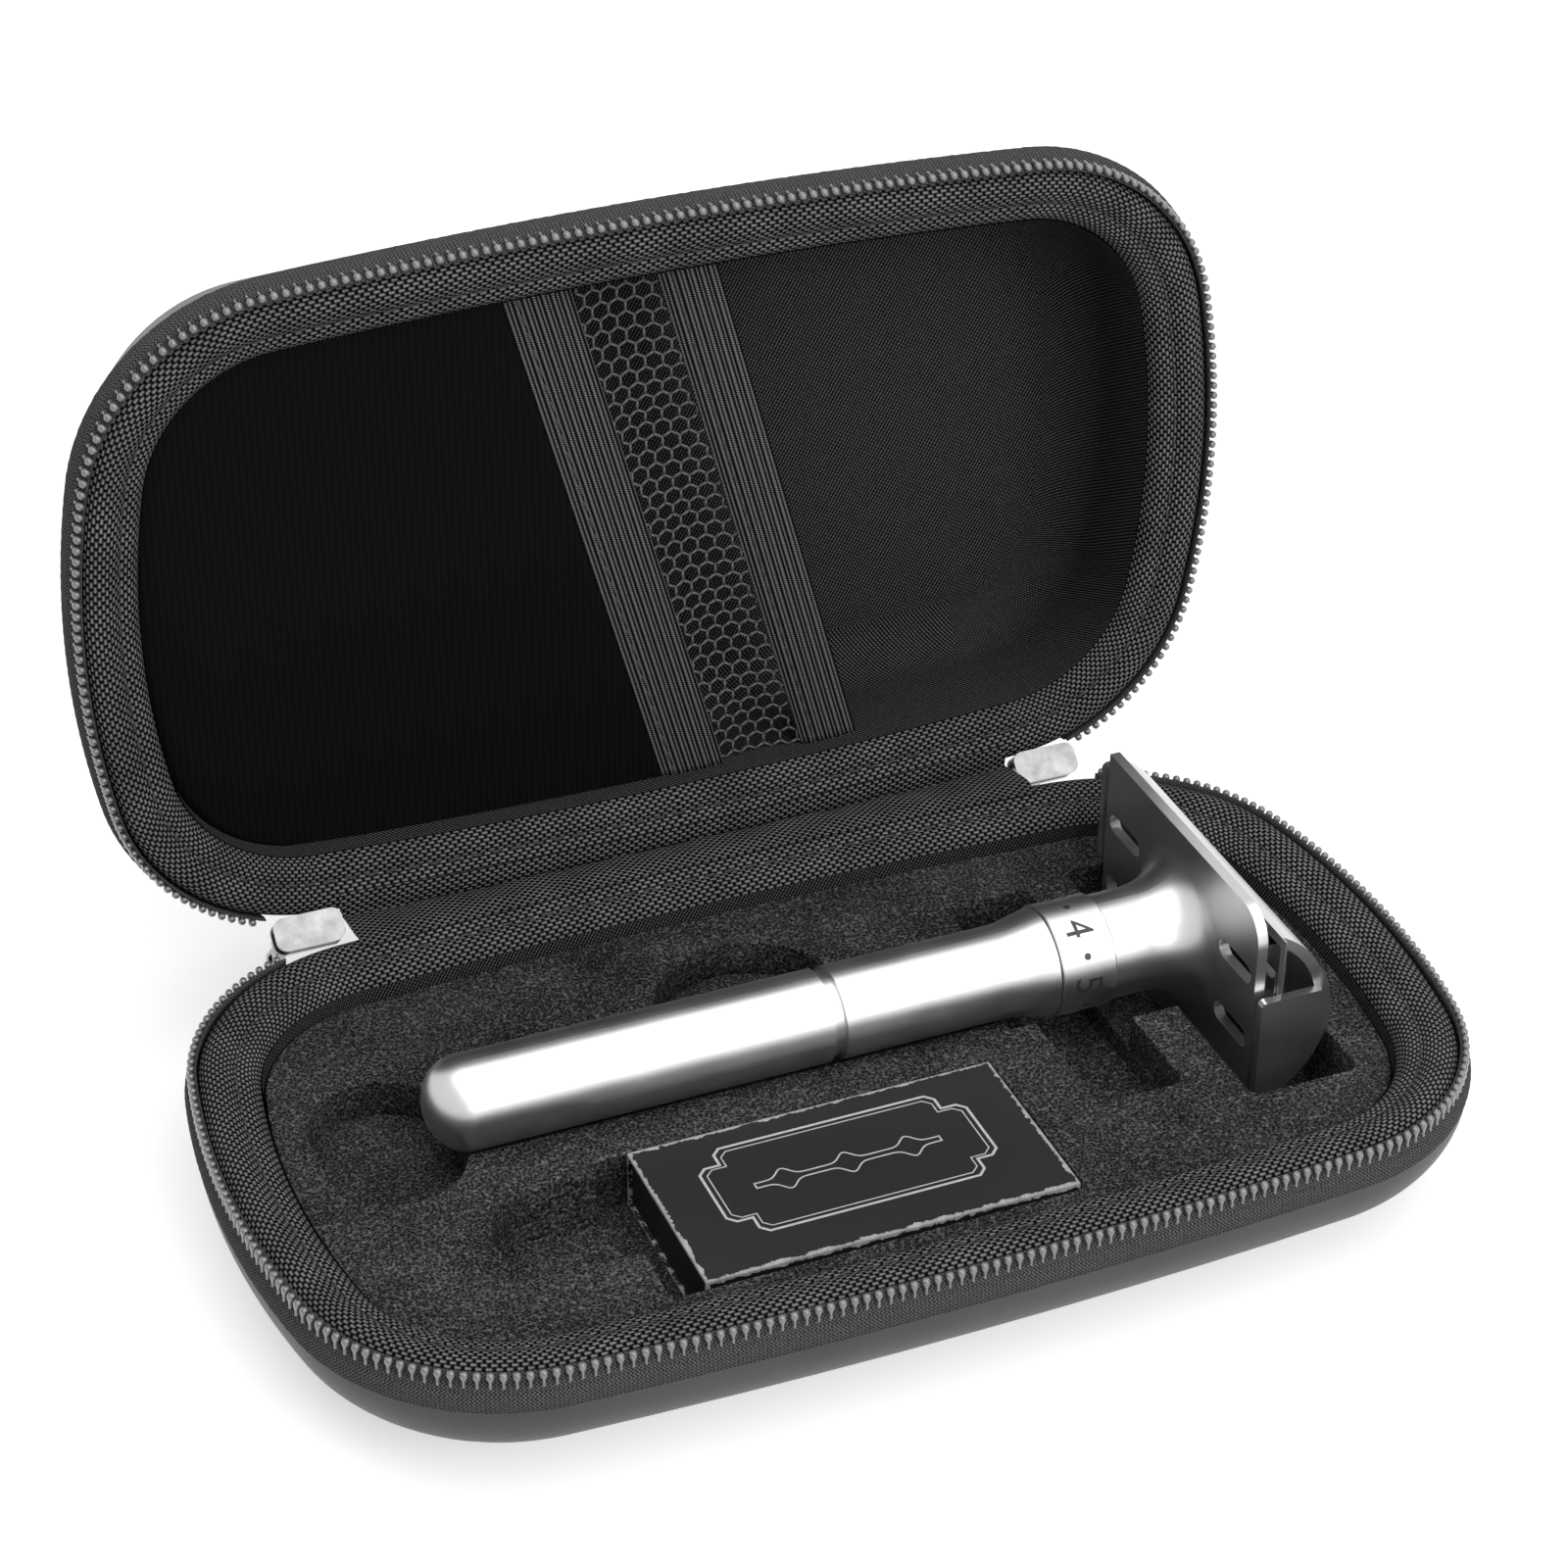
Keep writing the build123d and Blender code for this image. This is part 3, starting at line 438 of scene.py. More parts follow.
WARP_WIDTH = 0.62 * MM
WEFT_WIDTH = 0.50 * MM


def rim_profile(stop):
    """The roll's section, drawn down a little at each stitch and uneven along its crest."""
    pull = PUCKER * (0.5 + 0.5 * math.cos(2 * math.pi * stop / STITCH_PITCH))
    slow = CREST_WAVES[0] * math.sin(stop * 0.11) + CREST_WAVES[1] * math.sin(stop * 0.37 + 1.0)
    shape = []
    for row, (out, deep) in enumerate(RIM_ROLL):
        near = math.exp(-((out - SEAM_OUT) / PUCKER_WIDTH) ** 2) if row < FIRST_HEM_ROW else 0
        ease = max(0, slow) if row in CREST_ROWS else 0
        shape.append((out, deep + pull * near + ease))
    return shape


# A plain weave: where one thread is up, the one across it is down.
rim_finish = Finish("basket_weave_rim", 0.7, specular=0.03)
along, across = rim_finish.cloth()
warp = along / WARP_WIDTH
weft = across / WEFT_WIDTH
warp_up = 0.5 + 0.5 * ((weft + warp.floor()) * math.pi).sine()
weft_up = 0.5 + 0.5 * ((warp + weft.floor() + 0.5) * math.pi).sine()
warp_thread = abs((warp * math.pi).sine()) ** 0.6 * warp_up
weft_thread = abs((weft * math.pi).sine()) ** 0.6 * weft_up
height = warp_thread.most(weft_thread)
uneven = rim_finish.noise(5 * MM, 2)
# Painted light: the raised threads of the weave are painted bright as highlights and the hollows between
# them near black as painted shade; a cloudy noise varies this at random.
rim_finish.tint(height ** 3 * (0.5 + uneven * 0.7), (0.0004, 0.0004, 0.0004), (0.33, 0.33, 0.335))
rim_finish.bump(height, 0.2 * MM)
thread_finish = Finish("sewing_thread", 0.6)
thread_finish.tint(thread_finish.noise(0.2 * MM, 1), (0.012, 0.012, 0.012), (0.06, 0.06, 0.06))


def add_circle(points, middle, radius, side, up, count):
    """Points of a circle that lies in the plane of side and up."""
    for number in range(count):
        turn = 2 * math.pi * number / count
        points.append(middle + radius * (math.cos(turn) * side + math.sin(turn) * up))


def skin(faces, first, rings, count):
    """Faces round a run of circles of count points, closed at both ends."""
    for ring in range(rings - 1):
        for number in range(count):
            low = first + ring * count + number
            after = first + ring * count + (number + 1) % count
            faces.append((low, after, after + count, low + count))
    last = first + (rings - 1) * count
    faces += [tuple(range(first, first + count)), tuple(range(last, last + count))]


def add_stitch(points, faces, start, end, lift, radius):
    """One stitch: a short thread from start to end, bowed up by lift in the middle."""
    side = (end - start).cross(lift).normalized()
    first = len(points)
    for share in STITCH_SHARES:
        rise = math.sin(math.pi * share)
        thick = 0.45 + 0.55 * rise ** 0.4 if 0 < share < 1 else 0.3
        middle = start.lerp(end, share) + lift * rise
        add_circle(points, middle, radius * thick, side, lift.normalized(), THREAD_SIDES)
    skin(faces, first, len(STITCH_SHARES), THREAD_SIDES)


for half in HALVES:
    rim = swept(half + "_rim_roll", half, stops_round(STITCH_PITCH / 4), rim_profile)
    dress(rim, rim_finish)
    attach(rim, half)
    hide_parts(half + "_rim")
    points = []
    faces = []
    for stop in stops_round(STITCH_PITCH):
        start = by_mouth(half, stop - STITCH_LENGTH / 2, SEAM_OUT, SEAM_DEEP)
        end = by_mouth(half, stop + STITCH_LENGTH / 2, SEAM_OUT, SEAM_DEEP)
        seam = by_mouth(half, stop, SEAM_OUT, SEAM_DEEP)
        up = by_mouth(half, stop, SEAM_OUT, SEAM_DEEP - STITCH_RISE) - seam
        add_stitch(points, faces, start, end, up, STITCH_R)
    stitches = dress(make_piece(half + "_rim_stitches", points, faces), thread_finish)
    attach(stitches, half)

# The zip tapes: woven tape sewn to the outside of each wall, with a beaded edge under the teeth.
# They run round three sides and stop at the sliders on the hinge side.
ZIP_END_X = 58.0
TAPE_STEP = 0.74
TAPE_SHAPE = [
    (-0.62, 0.55), (-0.45, 0.45), (-0.35, 0.75), (-0.2, 1.7), (0.1, 2.02), (0.42, 2.16), (0.55, 2.42),
    (0.5, 2.68), (0.75, 2.95), (0.98, 3.5), (1.05, 4.1), (1.0, 4.75), (0.86, 5.35), (0.3, 5.42),
    (-0.15, 5.3), (-0.15, 3.5), (-0.3, 2.3), (-0.55, 1.5),
]
RIB_ROWS = (5, 6, 7)
RIB_HEIGHT = 0.05
EDGE_WAVE = 0.02
RAGGED_ROWS = (12, 13)
RAG = 0.07
HERRINGBONE = 0.5 * MM
end_stop = next(stop for stop in stops_round(0.05) if mouth_line(stop)[0].x > ZIP_END_X)


def tape_profile(stop):
    """Tape section with the small waves of its woven ribs and a slightly ragged lower edge."""
    rib = math.sin(math.pi * stop / TAPE_STEP)
    shape = []
    for row, (out, deep) in enumerate(TAPE_SHAPE):
        wave = rib * (RIB_HEIGHT if row in RIB_ROWS else EDGE_WAVE)
        ragged = RAG * math.sin(stop * 3.7) * math.sin(stop * 1.9) if row in RAGGED_ROWS else 0
        shape.append((out + wave, deep + ragged))
    return shape


tape_finish = Finish("zip_tape_weave", 0.8, specular=0.05)
along, across = tape_finish.cloth()
slant = abs(((across / HERRINGBONE).fraction() - 0.5) * 2)
row_wave = abs(((along / HERRINGBONE + slant * 0.8) * math.pi).sine())
fuzz = tape_finish.noise(0.25 * MM, 2)
height = row_wave * 0.7 + fuzz * 0.5
# Painted light: the raised herringbone ribs and fuzz are painted bright as highlights and the grooves
# between them near black as painted shade.
tape_finish.tint(height ** 2.5, (0.001, 0.001, 0.001), (0.16, 0.16, 0.165))
tape_finish.bump(height, 0.12 * MM)
for half in HALVES:
    stops = stops_round(TAPE_STEP, end_stop, ROUND - end_stop)
    tape = swept(half + "_tape_weave", half, stops, tape_profile, ring=False)
    dress(tape, tape_finish)
    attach(tape, half)
    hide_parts(half + "_zip_tape")

# The zip's teeth: loops of nylon set on the edge of each tape, with a bead at the tip and a narrow waist.
# The lid's row stands half a pitch along from the base's. The zip is open in every pose, so the two
# rows stop just short of each other when the lid is down.
TOOTH_PITCH = 1.48
# How deep, half the width along the zip, and half the thickness.
TOOTH_SHAPE = [
    (0.16, 0.16, 0.14), (0.20, 0.34, 0.31), (0.36, 0.48, 0.45), (0.62, 0.54, 0.51), (0.88, 0.51, 0.50),
    (1.12, 0.39, 0.45), (1.34, 0.29, 0.42), (1.62, 0.235, 0.42), (1.90, 0.235, 0.43), (2.10, 0.29, 0.45),
    (2.30, 0.30, 0.40),
]
TOOTH_SIDES = 10
TOOTH_OUT = 0.08
SLIDER_ROOM = 0.6

tooth_finish = Finish("nylon_teeth", specular=1.0)
tooth_finish.put("Coat Weight", 1.0)
tooth_finish.put("Coat Roughness", 0.08)
rub = tooth_finish.noise(0.7 * MM, 2)
tooth_finish.tint(rub, (0.05, 0.05, 0.05), (0.19, 0.19, 0.195))
tooth_finish.put("Roughness", 0.18 + rub * 0.2)
for half in HALVES:
    count = round(ROUND / TOOTH_PITCH)
    shift = 0.5 if half == "lid" else 0.0
    points = []
    faces = []
    for number in range(count):
        stop = (number + shift) * ROUND / count
        spot = mouth_line(stop)[0]
        if spot.y > 0 and abs(spot.x) < ZIP_END_X + SLIDER_ROOM:
            continue
        first = len(points)
        for deep, wide, thick in TOOTH_SHAPE:
            for side in range(TOOTH_SIDES):
                turn = 2 * math.pi * side / TOOTH_SIDES
                out = TOOTH_OUT + thick * math.cos(turn)
                points.append(by_mouth(half, stop + wide * math.sin(turn), out, deep))
        skin(faces, first, len(TOOTH_SHAPE), TOOTH_SIDES)
    teeth = dress(make_piece(half + "_nylon_teeth", points, faces), tooth_finish)
    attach(teeth, half)
    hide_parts(half + "_zip_teeth")

# The hinge: a strip of the rim's cloth fills the fold between the two rolls, and a shorter one is
# sewn over the outside of both shells. Both are built bent at the line where the shells meet, as they lie
# with the lid open.
FOLD_STEP = 1.5
FOLD_HALF_LENGTH = 48.2
FOLD_HEM = [(-4.0, 0.12), (-2.2, 0.02), (-0.5, 0.15)]
FOLD_BEND = (2.5, 3.0)
FOLD_WAVES = (0.14, 0.10)
OUTER_HALF_LENGTH = 38.0
OUTER_HEM = [(0.7, 5.6), (0.75, 4.9)]
OUTER_BEND = (0.9, -1.0)
LINE_STEPS = 4


def smooth_line(points):
    """A smooth line through points, as a chain of small straight pieces."""
    ends = [points[0] * 2 - points[1]] + points + [points[-1] * 2 - points[-2]]
    line = []
    for before, first, second, after in zip(ends, ends[1:], ends[2:], ends[3:]):
        for step in range(LINE_STEPS):
            t = step / LINE_STEPS
            line.append(0.5 * (2 * first + (second - before) * t
                               + (2 * before - 5 * first + 4 * second - after) * t * t
                               + (3 * first - before - 3 * second + after) * t ** 3))
    return line + [points[-1]]


def stop_at_x(x):
    """Stop of the zip line on the hinge side at that x."""
    near, far = 0.0, LONG_RUN + CORNER_RUN / 2
    for _ in range(30):
        middle = (near + far) / 2
        near, far = (middle, far) if mouth_line(middle)[0].x < abs(x) else (near, middle)
    return math.copysign(near, x)


def fold_cloth(name, half_length, guide):
    """Cloth across the hinge: guide(x) gives the line that it follows from base to lid."""
    count = round(2 * half_length / FOLD_STEP)
    points = []
    runs = []
    xs = [-half_length + number * 2 * half_length / count for number in range(count + 1)]
    for x in xs:
        line = smooth_line(guide(x))
        points += line
        runs.append([0.0])
        for first, second in zip(line, line[1:]):
            runs[-1].append(runs[-1][-1] + (second - first).length)
    rows = len(runs[0])
    faces = []
    cloth = []
    for column in range(count):
        for row in range(rows - 1):
            low = column * rows + row
            faces.append((low, low + rows, low + rows + 1, low + 1))
            left, right = xs[column] * MM, xs[column + 1] * MM
            cloth.append(((left, runs[column][row]), (right, runs[column + 1][row]),
                          (right, runs[column + 1][row + 1]), (left, runs[column][row + 1])))
    return make_piece(name, points, faces, cloth)


def fold_guide(x, hem, bend, wave):
    """Line of a hinge cloth at that x: its hem on the base, the bend, and its hem on the lid."""
    stop = stop_at_x(x)
    line = [by_mouth("base", stop, *spot) for spot in hem[:-1]]
    line.append(by_mouth("base", stop, hem[-1][0], hem[-1][1] + wave / 2))
    line.append(Vector((x, HINGE_Y + bend[0], HINGE_Z + bend[1] + wave)) * MM)
    line.append(by_mouth("lid", stop, hem[-1][0], hem[-1][1] - wave / 2))
    return line + [by_mouth("lid", stop, *spot) for spot in hem[-2::-1]]


def inner_guide(x):
    wave = FOLD_WAVES[0] * math.sin(x * 0.5) + FOLD_WAVES[1] * math.sin(x * 1.13)
    return fold_guide(x, FOLD_HEM, FOLD_BEND, wave)


def outer_guide(x):
    return fold_guide(x, OUTER_HEM, OUTER_BEND, 0)


for name, half_length, guide, fixed in (
    ("hinge_fold_cloth", FOLD_HALF_LENGTH, inner_guide, (-1.0, 1.0)),
    ("hinge_outer_cloth", OUTER_HALF_LENGTH, outer_guide, OUTER_HEM[-1]),
):
    hinge_cloth = dress(fold_cloth(name, half_length, guide), rim_finish)
    if name == "hinge_outer_cloth":
        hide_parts("base_hinge_leaf", "lid_hinge_leaf")
    start, end = (by_mouth(half, 0, *fixed) for half in HALVES)
    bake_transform(hinge_cloth)

# The foam insert: two layers of dense closed-cell foam, die cut and glued one on the other.
# Cut edges are slightly round, and the cut cells show as fine grain.
FOAM_ROUND = 0.35
FOAM_CELL = 0.42 * MM
WELD = 0.004 * MM
FLAT_WITHIN = math.radians(1)
SHARP_FROM = math.radians(40)


def soft_copy(name, node, width):
    """A copy of a node's shape with its sharp edges rounded."""
    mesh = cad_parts[node].data.copy()
    piece = bpy.data.objects.new(name, mesh)
    bpy.context.scene.collection.objects.link(piece)
    work = bmesh.new()
    work.from_mesh(mesh)
    bmesh.ops.remove_doubles(work, verts=work.verts, dist=WELD)
    bmesh.ops.dissolve_limit(work, angle_limit=FLAT_WITHIN, verts=work.verts, edges=work.edges)
    work.to_mesh(mesh)
    work.free()
    mesh.polygons.foreach_set("use_smooth", [True] * len(mesh.polygons))
    rounding = piece.modifiers.new("rounding", "BEVEL")
    rounding.width = width * MM
    rounding.segments = 3
    rounding.limit_method = "ANGLE"
    rounding.angle_limit = SHARP_FROM
    rounding.harden_normals = True
    return piece


foam_finish = Finish("closed_cell_foam", 0.9, specular=0.03)
cells = foam_finish.node(
    "ShaderNodeTexVoronoi", {"feature": "F1"}, {"Vector": foam_finish.place(), "Scale": 1 / FOAM_CELL},
    "Distance",
)
specks = foam_finish.noise(0.28 * MM, 3, rough=0.7)
cloud = foam_finish.noise(9 * MM, 2)
# Painted light: the raised specks and cell rims of the cut foam are painted bright as highlights and the
# cell hollows near black as painted shade; a slow cloudy tone varies it at random.
painted_foam_grain_light = foam_finish.ramp(specks * 0.8 + cells * 0.35 + cloud * 0.15, 0.35, 0.95)
foam_finish.tint(painted_foam_grain_light ** 3, (0.001, 0.001, 0.001), (0.30, 0.30, 0.305))
foam_finish.bump(cells * 0.6 + specks, 0.10 * MM, 0.8)
for node in ("foam_upper", "foam_lower"):
    foam = dress(soft_copy(node + "_cut", node, FOAM_ROUND), foam_finish)
    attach(foam, "base")
    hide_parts(node)

# The razor: a grip, an upper handle, a numbered dial and a two-piece head, turned and cast in brass or
# zinc, blasted and plated with satin chrome.
chrome_finish = Finish("satin_chrome", metal=1.0)
blasted = chrome_finish.noise(0.16 * MM, 2)
smudge = chrome_finish.noise(7 * MM, 3)
chrome_finish.tint(smudge, (0.56, 0.56, 0.57), (0.70, 0.70, 0.71))
chrome_finish.put("Roughness", 0.25 + smudge * 0.10 + blasted * 0.06)
chrome_finish.bump(blasted, 0.010 * MM, 0.5)
for node in ("razor_grip", "razor_upper_handle", "razor_dial", "razor_guard", "razor_cap", "razor_core"):
    dress_node(node, chrome_finish)

# The blade: thin polished strip steel, clamped between the guard plate and the cap. It shines more
# than the blasted parts round it.
blade_finish = Finish("blade_steel", metal=1.0)
blade_finish.put("Base Color", (0.75, 0.75, 0.77, 1))
blade_finish.put("Roughness", 0.12 + blade_finish.noise(0.12 * MM, 2) * 0.12)
dress_node("razor_blade", blade_finish)

# Numbers on the dial: engraved and filled with dark enamel, one to six with a dot between each two.
# Number four stands at the front of the top, as on the real razor.
RAZOR_Y = 5.4
RAZOR_Z = 19.6
DIAL_MIDDLE = 34.9
DIAL_R = 7.35
NUMBERS = 6
FOUR_AT = math.radians(28)
DIGIT_HEIGHT = 3.9
FONT_SIZE = 1.4 * DIGIT_HEIGHT
LONG_EDGE = 0.5
DOT_R = 0.48
DOT_SIDES = 16
ENAMEL_LIFTS = (-0.05, 0.012)


def on_dial(along, turn, lift):
    """Place on the dial: along its axis, turned from the top to the front, and off its face."""
    radius = DIAL_R + lift
    y = RAZOR_Y - radius * math.sin(turn)
    return Vector((DIAL_MIDDLE + along, y, RAZOR_Z + radius * math.cos(turn))) * MM


points = []
faces = []
for number in range(NUMBERS):
    turn = FOUR_AT + (number - 3) * 2 * math.pi / NUMBERS
    letter = bpy.data.curves.new("digit", "FONT")
    letter.body = str(number + 1)
    letter.size = FONT_SIZE
    letter.align_x = "CENTER"
    holder = bpy.data.objects.new("digit", letter)
    bpy.context.scene.collection.objects.link(holder)
    bpy.context.view_layer.update()
    work = bmesh.new()
    work.from_mesh(holder.to_mesh())
    bpy.data.objects.remove(holder)
    bmesh.ops.triangulate(work, faces=work.faces)
    long_edges = [edge for edge in work.edges if edge.calc_length() > LONG_EDGE]
    bmesh.ops.subdivide_edges(work, edges=long_edges, cuts=3)
    bmesh.ops.triangulate(work, faces=work.faces)
    work.verts.index_update()
    first = len(points)
    flat = [vertex.co.copy() for vertex in work.verts]
    for lift in ENAMEL_LIFTS:
        points += [on_dial(spot.y - DIGIT_HEIGHT / 2, turn + spot.x / DIAL_R, lift) for spot in flat]
    for face in work.faces:
        low = [first + vertex.index for vertex in face.verts]
        faces += [tuple(reversed(low)), tuple(index + len(flat) for index in low)]
    for edge in work.edges:
        if edge.is_boundary:
            low, high = (first + vertex.index for vertex in edge.verts)
            faces.append((low, high, high + len(flat), low + len(flat)))
    work.free()
    first = len(points)
    for lift in ENAMEL_LIFTS:
        for side in range(DOT_SIDES):
            swing = 2 * math.pi * side / DOT_SIDES
            place = turn + math.pi / NUMBERS + DOT_R * math.sin(swing) / DIAL_R
            points.append(on_dial(DOT_R * math.cos(swing), place, lift))
    skin(faces, first, 2, DOT_SIDES)
enamel_finish = Finish("dark_enamel", 0.4)
enamel_finish.tint(enamel_finish.noise(0.4 * MM, 2), (0.01, 0.01, 0.01), (0.05, 0.05, 0.05))
numbers = dress(make_piece("dial_numbers", points, faces, smooth=False), enamel_finish)
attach(numbers, "dial")

# The blade box: a sleeve of black printed card round a tray of the same card. The card's white core
# shows along the folds and at the corners, where two sides of the box are near.
BOX_MIDDLE = Vector((-5.5, -19.2))
BOX_HALF = Vector((24.3, 13.0))
BOX_TOP = 15.3
BOX_BOTTOM = 7.3
CARD_ROUND = 0.18
card_finish = Finish("black_card", specular=0.25)
fibre = card_finish.noise(0.5 * MM, 3)
card_finish.put("Roughness", 0.45 + fibre * 0.2)
x, y, z = card_finish.apart(card_finish.place())
to_end = BOX_HALF.x - abs(x / MM - BOX_MIDDLE.x)
to_side = BOX_HALF.y - abs(y / MM - BOX_MIDDLE.y)
to_face = (BOX_TOP - z / MM).least(z / MM - BOX_BOTTOM)
to_fold = to_end.least(to_side).most(to_end.most(to_side).least(to_face))
scuff = card_finish.noise(1.6 * MM, 4, rough=0.7)
worn = to_fold < (scuff - 0.22) * 1.7
black = card_finish.mix(fibre, (0.004, 0.004, 0.004, 1), (0.013, 0.013, 0.013, 1))
card_finish.put("Base Color", card_finish.mix(worn * scuff * 1.3, black, (0.55, 0.55, 0.53, 1)))
sleeve = dress(soft_copy("printed_sleeve", "blade_box_sleeve", CARD_ROUND), card_finish)
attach(sleeve, "blade_box")
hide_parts("blade_box_sleeve")
dress_node("blade_box_tray", card_finish)

# Print on the box: thin lines of white ink, a blade's outline drawn twice with its slot inside.
# The ink is a little patchy, and there are no words.
INK_T = 0.03
INK_SHIFT = 1.2
BLADE_EDGE = [(0, 8.3), (13.7, 8.3), (14.7, 7.3), (14.7, 5.3), (16.7, 5.3), (17.7, 4.3), (17.7, 0)]
OUTER_INK = 0.34
INNER_INK = 0.16
INNER_SHRINK = (0.955, 0.905)
SLOT_INK = 0.2
SLOT_HALF_LENGTH = 12.2
SLOT_HALF_WIDTH = 0.45
SLOT_STEPS = 40
BULGES_AT = (0.0, 8.2)
BULGE_RUN = 1.15
BULGE_RISE = 1.5
SHARPEST_MITRE = 0.5


def round_loop(corner):
    """The four quarters of an outline from one of them, as a closed loop."""
    back = corner[::-1]
    loop = corner + [(u, -v) for u, v in back[1:]] + [(-u, -v) for u, v in corner[1:]]
    return loop + [(-u, v) for u, v in back[1:-1]]


def ink_line(points, faces, loop, width):
    """A closed printed line of that width along a loop on the box's top."""
    count = len(loop)
    first = len(points)
    for number, spot in enumerate(loop):
        spot = Vector(spot)
        before = (spot - Vector(loop[number - 1])).normalized()
        after = (Vector(loop[(number + 1) % count]) - spot).normalized()
        along = (before + after).normalized()
        side = Vector((-along.y, along.x)) * (width / 2 / max(SHARPEST_MITRE, along.dot(before)))
        for edge, height in ((side, 0), (side, INK_T), (-side, INK_T), (-side, 0)):
            x, y = spot + edge + BOX_MIDDLE
            points.append(Vector((x, y + INK_SHIFT, BOX_TOP + height)) * MM)
    for number in range(count):
        for side in range(4):
            low = first + number * 4
            high = first + (number + 1) % count * 4
            after = (side + 1) % 4
            faces.append((low + side, high + side, high + after, low + after))


def slot_half(u):
    """Half the width of the blade's slot: three round openings on one long cut."""
    bulge = sum(math.exp(-((abs(u) - place) / BULGE_RUN) ** 2) for place in BULGES_AT)
    return SLOT_HALF_WIDTH + BULGE_RISE * bulge


points = []
faces = []
inner_edge = [(u * INNER_SHRINK[0], v * INNER_SHRINK[1]) for u, v in BLADE_EDGE]
slot_stops = [SLOT_HALF_LENGTH * number / SLOT_STEPS for number in range(SLOT_STEPS + 1)]
slot_edge = [(u, slot_half(u)) for u in slot_stops] + [(SLOT_HALF_LENGTH, 0)]
for edge, width in ((BLADE_EDGE, OUTER_INK), (inner_edge, INNER_INK), (slot_edge, SLOT_INK)):
    ink_line(points, faces, round_loop(edge), width)
ink_finish = Finish("white_ink")
ink_finish.tint(ink_finish.noise(0.9 * MM, 3), (0.38, 0.38, 0.38), (0.72, 0.72, 0.72))
ink = dress(make_piece("printed_lines", points, faces, smooth=False), ink_finish)
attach(ink, "blade_box")

# The wrapped blades: a stack of five, each folded in waxed paper. It lies in the tray, out of sight
# inside the sleeve.
paper_finish = Finish("waxed_paper")
paper_finish.tint(paper_finish.noise(1.2 * MM, 3), (0.5, 0.5, 0.48), (0.68, 0.68, 0.66))
dress_node("wrapped_blades", paper_finish)

# The lid pocket's panel: smooth stretch cloth from the left end to a leaning edge, drawn nearly flat.
# It is held behind the rim's hem, as the bands and the net beside it are.
POCKET_DEEP = 6.1
POCKET_OUT = -8.5
POCKET_LEAN = math.tan(math.radians(15.0))
POCKET_ROWS = 72
PANEL_EDGE = -10.4
PANEL_COLUMNS = 48
PANEL_SET = 0.4
PANEL_SAG = 0.5
PANEL_RIB = 0.9 * MM
CLOTH_T = 0.5 * MM


def half_length_at(y, out):
    """How far the mouth's outline, moved out, reaches in x at that y."""
    y = abs(y)
    if y < (SHORT_R + out) * math.sin(SHORT_TURN):
        return SHORT_MIDDLE.x + math.sqrt((SHORT_R + out) ** 2 - y * y)
    corner_y = y - CORNER_MIDDLE.y
    if corner_y < (CORNER_R + out) * math.sin(LONG_TURN):
        return CORNER_MIDDLE.x + math.sqrt((CORNER_R + out) ** 2 - corner_y**2)
    return math.sqrt(max(0.0, (LONG_R + out) ** 2 - (y - LONG_MIDDLE.y) ** 2))


def half_width_at(x, out):
    """How far the mouth's long side, moved out, reaches in y at that x."""
    return LONG_MIDDLE.y + math.sqrt((LONG_R + out) ** 2 - x * x)


def leaning(edge, y):
    return edge + y * POCKET_LEAN


def line_end(edge, side):
    """Where a leaning line meets the long side of the mouth: -1 for the front, 1 for the hinge side."""
    y = 0.0
    for _ in range(6):
        y = side * half_width_at(leaning(edge, y), POCKET_OUT)
    return y


POCKET_HALF_WIDTH = half_width_at(0, POCKET_OUT)


def strip_cloth(name, left, right, ends, rise, columns):
    """Cloth between two edges: left(y) and right(y) give x, ends(share) gives where a line of it
    starts and stops, and rise(share, y) how deep it lies in the lid."""
    points = []
    flat = []
    for row in range(POCKET_ROWS + 1):
        for column in range(columns + 1):
            share = column / columns
            low, high = ends(share)
            y = low + (high - low) * row / POCKET_ROWS
            x = left(y) + (right(y) - left(y)) * share
            points.append(seat("lid", x, y, rise(share, y)))
            flat.append((x * MM, y * MM))
    wide = columns + 1
    corners = [row * wide + column for row in range(POCKET_ROWS) for column in range(columns)]
    faces = [(low, low + 1, low + wide + 1, low + wide) for low in corners]
    cloth = [tuple(flat[corner] for corner in face) for face in faces]
    piece = make_piece(name, points, faces, cloth)
    solid = piece.modifiers.new("thickness", "SOLIDIFY")
    solid.thickness = CLOTH_T
    solid.offset = 0
    return piece


def panel_left(y):
    return -half_length_at(y, POCKET_OUT)


def panel_right(y):
    return leaning(PANEL_EDGE, y)


def panel_ends(share):
    return line_end(PANEL_EDGE, -1), line_end(PANEL_EDGE, 1)


def panel_rise(share, y):
    """The panel lies nearly flat and sinks a little in the middle."""
    slack = 1 - (y / POCKET_HALF_WIDTH) ** 2
    return POCKET_DEEP + PANEL_SET + PANEL_SAG * math.sin(math.pi * share) * slack


panel_finish = Finish("smooth_stretch_cloth", 0.7, specular=0.05)
ribs = abs((panel_finish.cloth()[0] * (math.pi / PANEL_RIB)).sine())
# Painted light: the tops of the fine ribs are painted a little lighter as a highlight and their hollows
# darker as painted shade.
panel_finish.tint(ribs, (0.0022, 0.0022, 0.0022), (0.0046, 0.0046, 0.0046))
panel_finish.bump(ribs, 0.03 * MM, 0.6)
panel = strip_cloth(
    "pocket_panel_cloth", panel_left, panel_right, panel_ends, panel_rise, PANEL_COLUMNS
)
dress(panel, panel_finish)
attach(panel, "lid")
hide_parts("pocket_panel")

